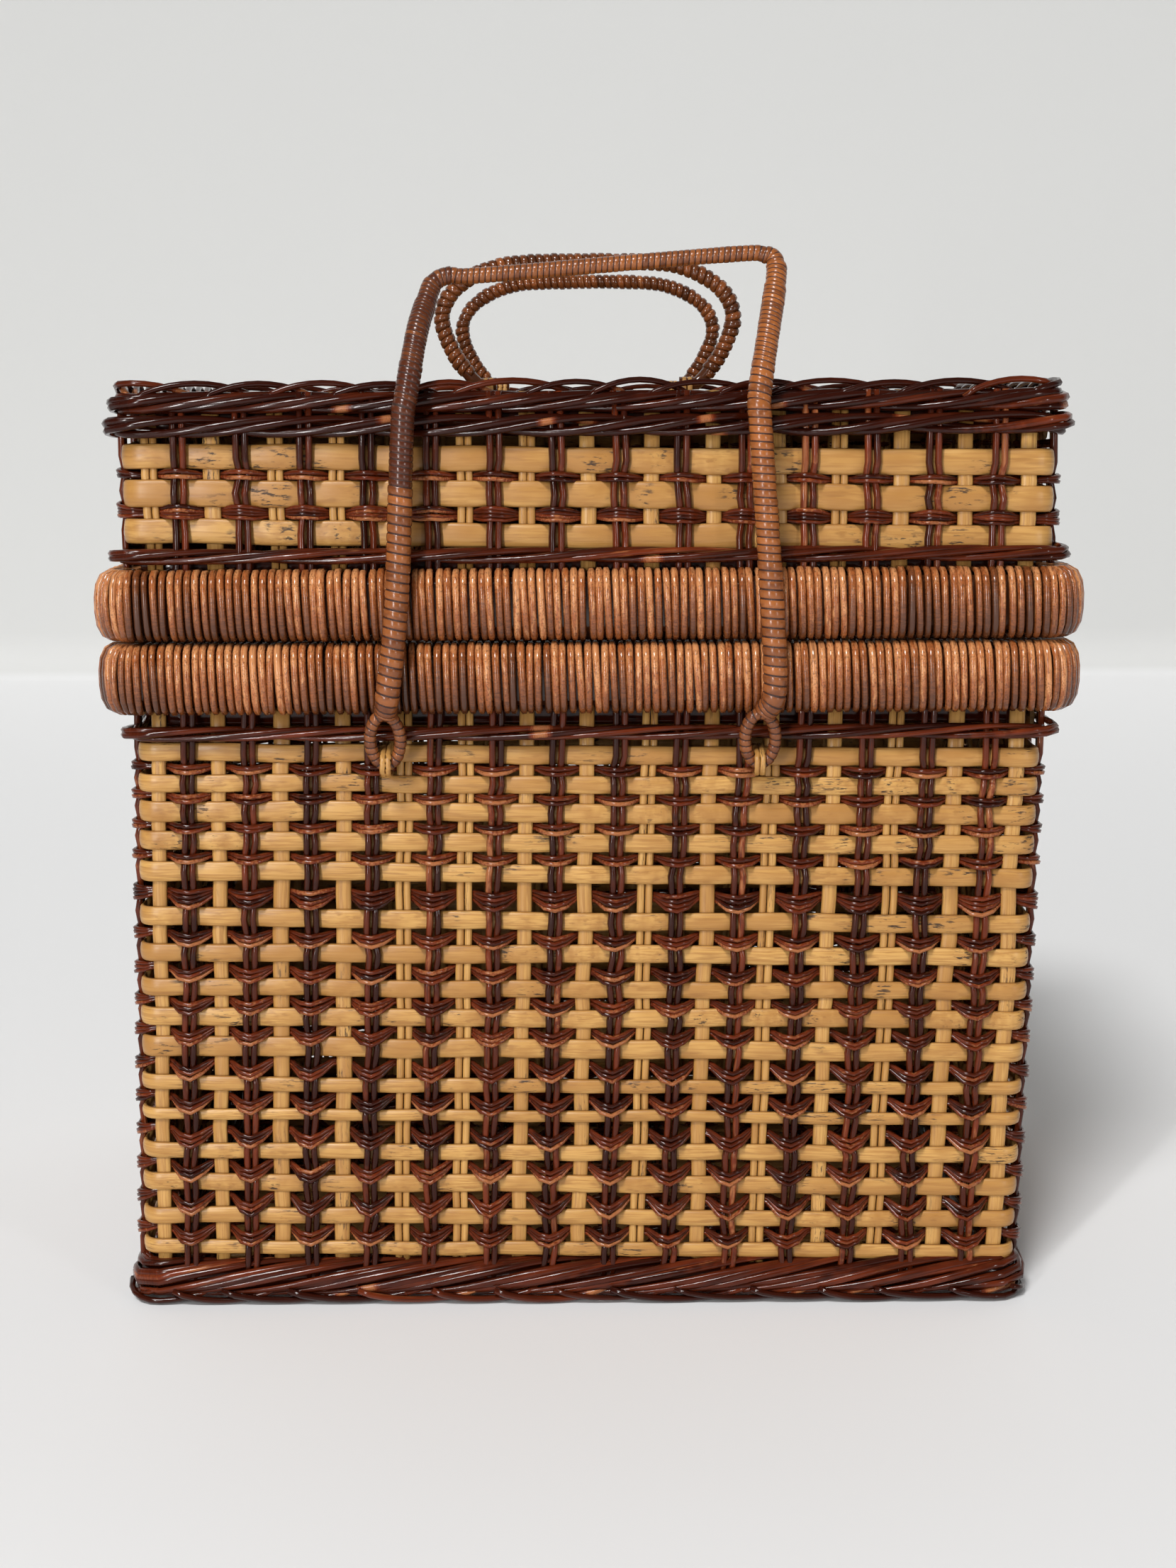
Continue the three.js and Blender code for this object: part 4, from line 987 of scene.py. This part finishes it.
def dark_reed(finish, colours):
    """Mahogany-stained round reed, redder by its tone and worn to orange at the highest tones."""
    along, across, tone = finish.strand()
    fibre = finish.noise(along * 40, across * 14, tone * 20, 3)
    cloud = finish.noise(along * 45, across * 1.5, tone * 30 + 3)
    red = finish.above(tone * 0.9 + cloud * 0.5, 0.4, 0.95)
    rubbed = finish.noise(along * 60, across * 4, tone * 45, 3)
    # On the dark reeds this mask is wear only, where the stain has worn off.
    wear_and_painted_light = finish.above(tone * 0.8 + rubbed * 0.7, 0.8, 1.04)
    colour = finish.mix(red, colours.dark_reed, colours.dark_reed_red)
    colour = finish.mix(wear_and_painted_light * 0.75, colour, colours.dark_reed_worn)
    colour = finish.mix(finish.above(fibre, 0.5, 0.72) * 0.6, colour, colours.dirt)
    roughness = 0.07 + fibre * 0.13
    normal = finish.bump(fibre + cloud * 0.5, 0.1 * MM, 0.4)
    return finish.done(base_color=colour, roughness=roughness, normal=normal, specular_ior_level=0.26)


def wrap_reed(finish, colours):
    """Brown varnished reed with long fibre lines, from dark to tan by its tone. On the rims the tone also holds
    painted light, lighter at the top of each turn.
    """
    along, across, tone = finish.strand()
    fibre = finish.noise(along * 40, across * 16, tone * 60, 3)
    cloud = finish.noise(along * 80, across * 2, tone * 70 + 2)
    # On the rims the tone rises towards the top of each turn, so this lighter colour and the pale streaks gather
    # there as a painted highlight, with painted shade at the foot.
    light = finish.above(tone * 0.85 + cloud * 0.45, 0.25, 1.05)
    pale = finish.above(tone * 0.6 + finish.noise(along * 30, across * 7, tone * 9, 3), 0.85, 1.15)
    colour = finish.mix(light, colours.wrap_reed_dark, colours.wrap_reed)
    colour = finish.mix(pale * 0.65, colour, colours.wrap_reed_pale)
    colour = finish.mix(finish.above(fibre, 0.48, 0.68) * 0.65, colour, colours.wrap_reed_dark)
    roughness = 0.1 + fibre * 0.14
    normal = finish.bump(fibre + cloud * 0.5, 0.12 * MM, 0.4)
    return finish.done(base_color=colour, roughness=roughness, normal=normal, specular_ior_level=0.55)


def bail_cane(finish, colours):
    """Flat cane of the bail, dark in the joints between its turns."""
    along, across, tone = finish.strand()
    fibre = finish.noise(along * 420, across * 5, tone * 20, 3)
    cloud = finish.noise(along * 90, across * 4, tone * 9)
    joint = finish.above(0 - tone, -0.05, 0.6)
    light = finish.above(tone * 0.9 + cloud * 0.35, 0.25, 1.05)
    colour = finish.mix(light, colours.bail_cane_dark, colours.bail_cane)
    colour = finish.mix(finish.above(fibre, 0.48, 0.72) * 0.5, colour, colours.bail_cane_dark)
    colour = finish.mix(joint * 0.8, colour, colours.dirt)
    roughness = 0.15 + fibre * 0.15 + joint * 0.35
    normal = finish.bump(fibre + cloud, 0.12 * MM, 0.5)
    return finish.done(base_color=colour, roughness=roughness, normal=normal, specular_ior_level=0.45)


def hoop_wood(finish, colours):
    """Plain bent wood of the hoops inside the rims."""
    x, y, z = finish.place()
    grain = finish.noise(x * 20, y * 20, z * 400, 3)
    colour = finish.mix(finish.above(grain, 0.35, 0.7), colours.wrap_reed_dark, colours.hoop_wood)
    normal = finish.bump(grain, 0.3 * MM, 0.5)
    return finish.done(base_color=colour, roughness=0.5 + grain * 0.2, normal=normal)


def pale_floor(finish, colours):
    """Smooth pale paper under and behind the basket."""
    x, y, z = finish.place()
    mottle = finish.noise(x * 6, y * 6, z * 6, 2)
    colour = finish.mix(finish.above(z, 0.0, 0.012), colours.floor, colours.wall)
    return finish.done(base_color=colour, roughness=0.75 + mottle * 0.1)


FINISH_MAKERS = (pale_cane, dark_reed, wrap_reed, bail_cane, hoop_wood, pale_floor)
MAKERS = {make.__name__: make for make in FINISH_MAKERS}
FINISHES = {}


def shared_finish(name):
    """A finish that is made once and then shared."""
    if name not in FINISHES:
        FINISHES[name] = MAKERS[name](Finish(f"{name}_finish"), bpy.context.scene.basket_colours)
    return FINISHES[name]


# Settings


def length(label, description, millimetres):
    return FloatProperty(name=label, description=description, default=millimetres * MM, min=0,
                         unit="LENGTH", precision=5)


def paint(label, description, colour):
    return FloatVectorProperty(name=label, description=description, default=colour, size=3, min=0, max=1,
                               subtype="COLOR")


class BasketSizes(bpy.types.PropertyGroup):
    """Sizes of the strands"""

    stake_pitch: length("Stake pitch", "Distance between two dark pairs", 24)
    dark_reed_radius: length("Dark reed radius", "Radius of one reed of a dark pair", 1.36)
    pale_cane_width: length("Pale cane width", "Width of a pale stake", 6.2)
    band_thickness: length("Band thickness", "Thickness of the flat pale bands", 1.7)
    rim_reed_radius: length("Rim reed radius", "Radius of the reed wrapped round the rims", 1.45)
    rim_wrap_pitch: length("Rim wrap pitch", "Distance between two turns round a rim", 3.2)
    handle_reed_radius: length("Handle reed radius", "Radius of the reed wound round a handle", 1.65)
    handle_wrap_pitch: length("Handle wrap pitch", "Distance between two turns round a handle", 3.1)
    seed: IntProperty(name="Seed", description="Start of the random unevenness", default=7, min=0)


class BasketColours(bpy.types.PropertyGroup):
    """Colours of the finishes"""

    pale_cane: paint("Pale cane", "Honey colour of the bands and pale stakes", (0.57, 0.318, 0.094))
    pale_cane_deep: paint("Deep pale cane", "Darker honey of aged cane", (0.37, 0.172, 0.042))
    # The streak colour also paints the shade along the edges of a cane's crown.
    pale_cane_streak_and_edge_shade: paint("Cane streaks", "Brown streaks in the pale cane", (0.27, 0.115, 0.03))
    dirt: paint("Dirt", "Specks and joints", (0.018, 0.009, 0.006))
    dark_reed: paint("Dark reed", "Mahogany of the dark reeds", (0.025, 0.0036, 0.0012))
    dark_reed_red: paint("Red dark reed", "Redder mahogany", (0.165, 0.027, 0.007))
    dark_reed_worn: paint("Worn dark reed", "Where the stain has worn off", (0.4, 0.15, 0.055))
    wrap_reed: paint("Wrap reed", "Brown reed of the rims", (0.365, 0.103, 0.026))
    wrap_reed_dark: paint("Dark wrap reed", "Dark turns and fibres", (0.066, 0.02, 0.007))
    # On the rims these pale streaks also gather in the painted highlight at the top of each turn.
    wrap_reed_pale: paint("Pale wrap reed", "Pale streaks of the rims", (0.67, 0.31, 0.125))
    bail_cane: paint("Bail cane", "Tan cane of the bail", (0.37, 0.118, 0.03))
    bail_cane_dark: paint("Dark bail cane", "Red-brown cane of the bail", (0.075, 0.018, 0.007))
    hoop_wood: paint("Hoop wood", "Wood of the hidden hoops", (0.07, 0.03, 0.013))
    floor: paint("Floor", "Paper under the basket", (0.82, 0.82, 0.82))
    wall: paint("Wall", "Paper behind the basket", (0.705, 0.705, 0.69))


def settings():
    """Sizes, and a random generator that starts afresh for each operator."""
    sizes = bpy.context.scene.basket_sizes
    return sizes, np.random.default_rng(sizes.seed)


# Operators


def make_stakes(lay, slot, kind, stakes):
    """Stands one kind of stake on each wall of the body and the lid, a piece for each wall."""
    sizes, rng = settings()
    for part in WEAVES:
        walls = Walls(part, sizes)
        for wall, side in enumerate(SIDES):
            strands = Strands()
            lay(walls, strands, sizes, rng, wall)
            strands.make(f"{part}_{kind}_{side}", slot, f"{part}_{stakes}_{side}")


class BASKET_OT_dark_reeds(bpy.types.Operator):
    """Stand the pairs of dark reeds round the body and the lid"""

    bl_idname = "basket.dark_reeds"
    bl_label = "Dark Reeds"

    def execute(self, context):
        make_stakes(Walls.lay_dark_reeds, "dark_reed", "dark_reeds", "dark_stakes")
        return {"FINISHED"}


class BASKET_OT_pale_canes(bpy.types.Operator):
    """Stand the pale canes inside the body and the lid"""

    bl_idname = "basket.pale_canes"
    bl_label = "Pale Canes"

    def execute(self, context):
        make_stakes(Walls.lay_pale_canes, "pale_cane", "pale_canes", "pale_stakes")
        return {"FINISHED"}


class BASKET_OT_rows(bpy.types.Operator):
    """Weave the pale bands and the dark weavers round the walls"""

    bl_idname = "basket.rows"
    bl_label = "Bands and Weavers"

    def execute(self, context):
        sizes, rng = settings()
        for part in WEAVES:
            walls = Walls(part, sizes)
            bands, weavers = Strands(), Strands()
            walls.lay_bands(bands, sizes, rng)
            walls.lay_weavers(weavers, rng)
            bands.make(f"{part}_bands", "pale_cane", f"{part}_pale_band")
            weavers.make(f"{part}_weavers", "dark_reed", f"{part}_dark_weaver")
        return {"FINISHED"}


class BASKET_OT_ropes(bpy.types.Operator):
    """Twist the wales, the lid's ropes and the base border"""

    bl_idname = "basket.ropes"
    bl_label = "Wales and Borders"

    def execute(self, context):
        sizes, rng = settings()
        body, lid = Walls("body", sizes), Walls("lid", sizes)
        self.wale(body, rng, "body_wale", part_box("body_rim_wrap")[0].z - 1 * MM)
        self.wale(lid, rng, "lid_wale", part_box("lid_rim_wrap")[1].z + 1 * MM)
        self.lower_rope(lid, rng, "lid_lower_rope")
        self.top_border(lid, rng, "lid_top_border")
        self.base_border(body, rng, "base_border")
        return {"FINISHED"}

    def wale(self, walls, rng, node, beside):
        """A thin rope beside a rim, and a plain reed behind the joint of the two."""
        strands = Strands()
        walls.lay_rope(strands, rng, (0.4 * MM, middle(node)[2]), mm(2.6, 1.8), pitch=120 * MM,
                       groups=2, fibres=2, radius=1.3 * MM, tone=0.4)
        walls.lay_core(strands, (8.6 * MM, beside), mm(0.8, 5.4))
        strands.make(f"{node}_reeds", "dark_reed", node)

    def lower_rope(self, lid, rng, node):
        """A thicker rope round the lid's wall."""
        strands = Strands()
        centre = (0.4 * MM, middle(node)[2] + 1.4 * MM)
        lid.lay_rope(strands, rng, centre, mm(2.6, 2.8), pitch=105 * MM,
                     groups=2, fibres=2, radius=1.65 * MM, tone=0.2)
        strands.make(f"{node}_reeds", "dark_reed", node)

    def top_border(self, lid, rng, node):
        """A rope round the lid's top edge, bent reed ends over it, and plain reeds inside and behind."""
        low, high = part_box(node)
        strands = Strands()
        centre = (3 * MM, low.z + 4.2 * MM)
        lid.lay_core(strands, centre, mm(1.5, 1.5))
        lid.lay_core(strands, (8 * MM, low.z - 2.2 * MM), mm(0.8, 6.4))
        lid.lay_core(strands, (9.6 * MM, low.z + 4.3 * MM), mm(3.8, 1.8))
        lid.lay_rope(strands, rng, centre, mm(3.6, 2.7), pitch=105 * MM,
                     groups=3, fibres=2, radius=1.6 * MM, tone=0.2)
        rise = high.z - low.z - 5.2 * MM
        lid.lay_arches(strands, rng, (centre[0], low.z + 5 * MM), (2.4 * MM, rise), pitch=24 * MM,
                       radius=1.35 * MM)
        strands.make(f"{node}_reeds", "dark_reed", node)

    def base_border(self, body, rng, node):
        """A thick rope round the foot, bent reed ends under it and a plain reed inside."""
        strands = Strands()
        centre = (4.8 * MM, middle(node)[2])
        body.lay_core(strands, centre, mm(4, 5.2))
        body.lay_rope(strands, rng, centre, mm(6, 6.8), pitch=205 * MM,
                      groups=5, fibres=3, radius=1.7 * MM, tone=0.4, flat=0.65)
        body.lay_arches(strands, rng, mm(-0.8, 6.5), mm(1.6, -4.6), pitch=26 * MM,
                        radius=1.3 * MM, corner=WALL_CORNER + 6 * MM)
        strands.make(f"{node}_reeds", "dark_reed", node)


class BASKET_OT_rims(bpy.types.Operator):
    """Wrap the two rims with reed"""

    bl_idname = "basket.rims"
    bl_label = "Wrapped Rims"

    def execute(self, context):
        sizes, rng = settings()
        for part in WEAVES:
            strands = Strands()
            Walls(part, sizes).lay_rim(strands, sizes, rng, f"{part}_rim_wrap")
            strands.make(f"{part}_rim_reeds", "wrap_reed", f"{part}_rim_wrap")
            hoop = frame["nodes"][f"{part}_rim_hoop"]
            hoop.data.materials.clear()
            hoop.data.materials.append(shared_finish("hoop_wood"))
        return {"FINISHED"}


class BASKET_OT_panels(bpy.types.Operator):
    """Weave the lid's flat top and the floor"""

    bl_idname = "basket.panels"
    bl_label = "Top and Floor"

    def execute(self, context):
        sizes, rng = settings()
        for node in ("lid_top_panel", "base_panel"):
            panel = Panel(node, sizes)
            dark, pale = Strands(), Strands()
            panel.lay_dark(dark, rng)
            panel.lay_pale(pale, sizes, rng)
            dark.make(f"{node}_dark_reeds", "dark_reed", node)
            pale.make(f"{node}_pale_canes", "pale_cane", node)
        return {"FINISHED"}


class BASKET_OT_bail(bpy.types.Operator):
    """Wrap the bail and its eyes, and tie them to the front"""

    bl_idname = "basket.bail"
    bl_label = "Bail"

    def execute(self, context):
        _, rng = settings()
        route = bail_route()
        strands = Strands()
        wrap_rod(strands, route, bail_stretches(route), rng)
        for side in ENDS:
            eye = eye_route(side)
            wrap_rod(strands, eye, ((eye.length / MM, 2.6, 2.4, 0.5),), rng, sides=8, closed=True)
        strands.make("bail_wraps", "bail_cane", "bail_rod", "bail_leg_wrap_left", "bail_leg_wrap_right")
        for side in ENDS:
            self.tie(f"bail_tie_{side}", rng)
        return {"FINISHED"}

    def tie(self, node, rng):
        """Cane round the foot of an eye and through the wall."""
        low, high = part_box(node)
        eye = PIVOTS["bail_swing"][1:]
        front = arc(eye, eye[0] - low.y - HALF_CANE, 100, 265)
        back, foot, top = high.y - HALF_CANE, low.z + HALF_CANE, high.z - HALF_CANE
        inner = back - 2.7 * MM
        hold = [(inner, foot), (back, foot), (back, top), (inner, top)]
        make_tie(node, [front, hold], TIE_PLACES, TIE_CANE, 0.8 * MM, rng)


class BASKET_OT_handles(bpy.types.Operator):
    """Wind the lid's two handles and tie them down"""

    bl_idname = "basket.handles"
    bl_label = "Lid Handles"

    def execute(self, context):
        sizes, rng = settings()
        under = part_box("lid_top_panel")[0].z - TIE_UNDER
        for name in ("front", "rear"):
            route = handle_route(name)
            strands = Strands()
            core = route.at(np.linspace(0, route.length, 60))
            strands.sweep(core, FRONT, round_section(HANDLE_CORE, 8), 0.1)
            lay_coil(strands, route, FREE_FOOT, route.length - FREE_FOOT, sizes.handle_wrap_pitch,
                     WINDING_REACH, sizes.handle_reed_radius, rng, 0.35)
            nodes = (f"{name}_handle_core", f"{name}_handle_winding")
            strands.make(f"{name}_handle_reed", "wrap_reed", *nodes)
            y, z = PIVOTS[f"{name}_handle_fold"][1:]
            over = arc((y, z), HANDLE_TIE_BEND, 0, 180)
            hold = [(y - HANDLE_TIE_BEND, under), (y + HANDLE_TIE_BEND, under)]
            for side in ENDS:
                make_tie(f"{name}_handle_tie_{side}", [over, hold], TIE_PLACES, TIE_CANE, 0.6 * MM, rng)
        return {"FINISHED"}


class BASKET_OT_hinges(bpy.types.Operator):
    """Lash the lid to the body with cane loops round two pins"""

    bl_idname = "basket.hinges"
    bl_label = "Hinges"

    def execute(self, context):
        _, rng = settings()
        for side in ENDS:
            node = f"hinge_pin_{side}"
            low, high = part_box(node)
            pin = middle(node)[1:]
            x = np.linspace(low.x, high.x, 12)
            line = np.stack([x, 0 * x + pin[0], 0 * x + pin[1]], -1)
            strands = Strands()
            strands.sweep(line, UP, round_section(1.5 * MM, 8), 0.4)
            strands.make(f"{node}_reed", "dark_reed", node)
            for place in ("inner", "outer"):
                self.loop(f"hinge_body_loop_{side}_{place}", "body_rim_wrap", pin, -1, rng)
            self.loop(f"hinge_lid_loop_{side}", "lid_rim_wrap", pin, 1, rng)
        return {"FINISHED"}

    def loop(self, node, rim, pin, up, rng):
        """Cane round a rim and a pin. `up` is 1 for a rim above the pin and -1 for one below."""
        low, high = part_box(node)
        far = (high.z if up > 0 else low.z) - up * HALF_CANE
        inside, outside = low.y + HALF_CANE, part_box(rim)[1].y + 0.85 * MM
        bend = 3 * MM
        parts = (
            [(inside, far), (outside, far), (outside, pin[1] + up * bend)],
            arc(pin, 2.35 * MM, up * 60, -up * 120),
            [(outside - bend, pin[1]), (inside, pin[1])],
        )
        make_tie(node, parts, HINGE_PLACES, HINGE_CANE, 1.2 * MM, rng)


# A floor and a wall that are far larger than the view, and the bend between them
FLOOR_FRONT, FLOOR_BACK, FLOOR_HALF = -6.0, 2.0, 8.0
WALL_TOP = 6.0
WALL_BEND = 0.06

# Kind, place, power, size and height of each light. A sun's size is the angle it fills
LIGHTS = {
    "key_light": ("SUN", (-0.34, -0.9, 1.3), 2.35, 0.26, None),
    "window_light": ("AREA", (-0.75, -1.75, 0.55), 15, 0.06, 0.9),
    "fill_light": ("AREA", (1.2, -1.6, 0.5), 4.5, 0.1, 0.6),
}
LIGHT_AIM = Vector((0, 0, 0.2))
WORLD_STRENGTH = 0.1

# The camera looks a little down on the front. Its angles are in degrees, its lens and sensor in mm
CAMERA_PLACE = (0, -0.997, 0.358)
CAMERA_ANGLES = (90 - 9.46, 0.28, 0)
CAMERA_LENS = 52.1
SENSOR_HEIGHT = 36


class BASKET_OT_stage(bpy.types.Operator):
    """Set the pale floor and backdrop, the soft lights and the camera"""

    bl_idname = "basket.stage"
    bl_label = "Stage"

    def execute(self, context):
        scene = context.scene
        scene.view_settings.view_transform = "Standard"
        self.backdrop(scene)
        self.world(scene)
        for name, values in LIGHTS.items():
            self.lamp(scene, name, *values)
        self.camera(scene)
        return {"FINISHED"}

    def backdrop(self, scene):
        """A floor that curves up into a wall far behind."""
        bend = arc((FLOOR_BACK, WALL_BEND), WALL_BEND, -90, 0).tolist()
        profile = [(FLOOR_FRONT, 0.0)] + bend + [(FLOOR_BACK + WALL_BEND, WALL_TOP)]
        points = [(x, y, z) for y, z in profile for x in (-FLOOR_HALF, FLOOR_HALF)]
        faces = [(2 * i, 2 * i + 1, 2 * i + 3, 2 * i + 2) for i in range(len(profile) - 1)]
        mesh = bpy.data.meshes.new("floor")
        mesh.from_pydata(points, [], faces)
        mesh.polygons.foreach_set("use_smooth", [True] * len(faces))
        mesh.materials.append(shared_finish("pale_floor"))
        floor = bpy.data.objects.new("floor", mesh)
        scene.collection.objects.link(floor)

    def world(self, scene):
        world = bpy.data.worlds.new("studio")
        world.use_nodes = True
        background = world.node_tree.nodes["Background"]
        background.inputs["Color"].default_value = (1, 1, 1, 1)
        background.inputs["Strength"].default_value = WORLD_STRENGTH
        scene.world = world

    def lamp(self, scene, name, kind, place, power, size, tall):
        """A light that looks at the basket's middle."""
        light = bpy.data.lights.new(name, kind)
        light.energy = power
        setattr(light, "angle" if kind == "SUN" else "size", size)
        if tall:
            light.shape = "RECTANGLE"
            light.size_y = tall
        lamp = bpy.data.objects.new(name, light)
        lamp.location = place
        lamp.rotation_euler = (Vector(place) - LIGHT_AIM).to_track_quat("Z", "Y").to_euler()
        scene.collection.objects.link(lamp)

    def camera(self, scene):
        data = bpy.data.cameras.new("camera")
        data.sensor_fit = "VERTICAL"
        data.sensor_height = SENSOR_HEIGHT
        data.lens = CAMERA_LENS
        camera = bpy.data.objects.new("camera", data)
        camera.location = CAMERA_PLACE
        camera.rotation_euler = Euler([math.radians(angle) for angle in CAMERA_ANGLES])
        scene.collection.objects.link(camera)
        scene.camera = camera


OPERATORS = (
    BASKET_OT_dark_reeds,
    BASKET_OT_pale_canes,
    BASKET_OT_rows,
    BASKET_OT_ropes,
    BASKET_OT_rims,
    BASKET_OT_panels,
    BASKET_OT_bail,
    BASKET_OT_handles,
    BASKET_OT_hinges,
    BASKET_OT_stage,
)


class BASKET_PT_sidebar(bpy.types.Panel):
    """The basket's pieces and settings"""

    bl_idname = "BASKET_PT_sidebar"
    bl_label = "Woven Picnic Basket"
    bl_space_type = "VIEW_3D"
    bl_region_type = "UI"
    bl_category = "Basket"

    def draw(self, context):
        for operator in OPERATORS:
            self.layout.operator(operator.bl_idname)
        for group in (context.scene.basket_sizes, context.scene.basket_colours):
            box = self.layout.box()
            for name in group.__annotations__:
                box.prop(group, name)


CLASSES = (BasketSizes, BasketColours, *OPERATORS, BASKET_PT_sidebar)


def register():
    for cls in CLASSES:
        bpy.utils.register_class(cls)
    bpy.types.Scene.basket_sizes = PointerProperty(type=BasketSizes)
    bpy.types.Scene.basket_colours = PointerProperty(type=BasketColours)


def unregister():
    del bpy.types.Scene.basket_colours
    del bpy.types.Scene.basket_sizes
    for cls in reversed(CLASSES):
        bpy.utils.unregister_class(cls)


def main():
    register()
    for operator in OPERATORS:
        group, name = operator.bl_idname.split(".")
        getattr(getattr(bpy.ops, group), name)()


if __name__ == "__main__":
    main()
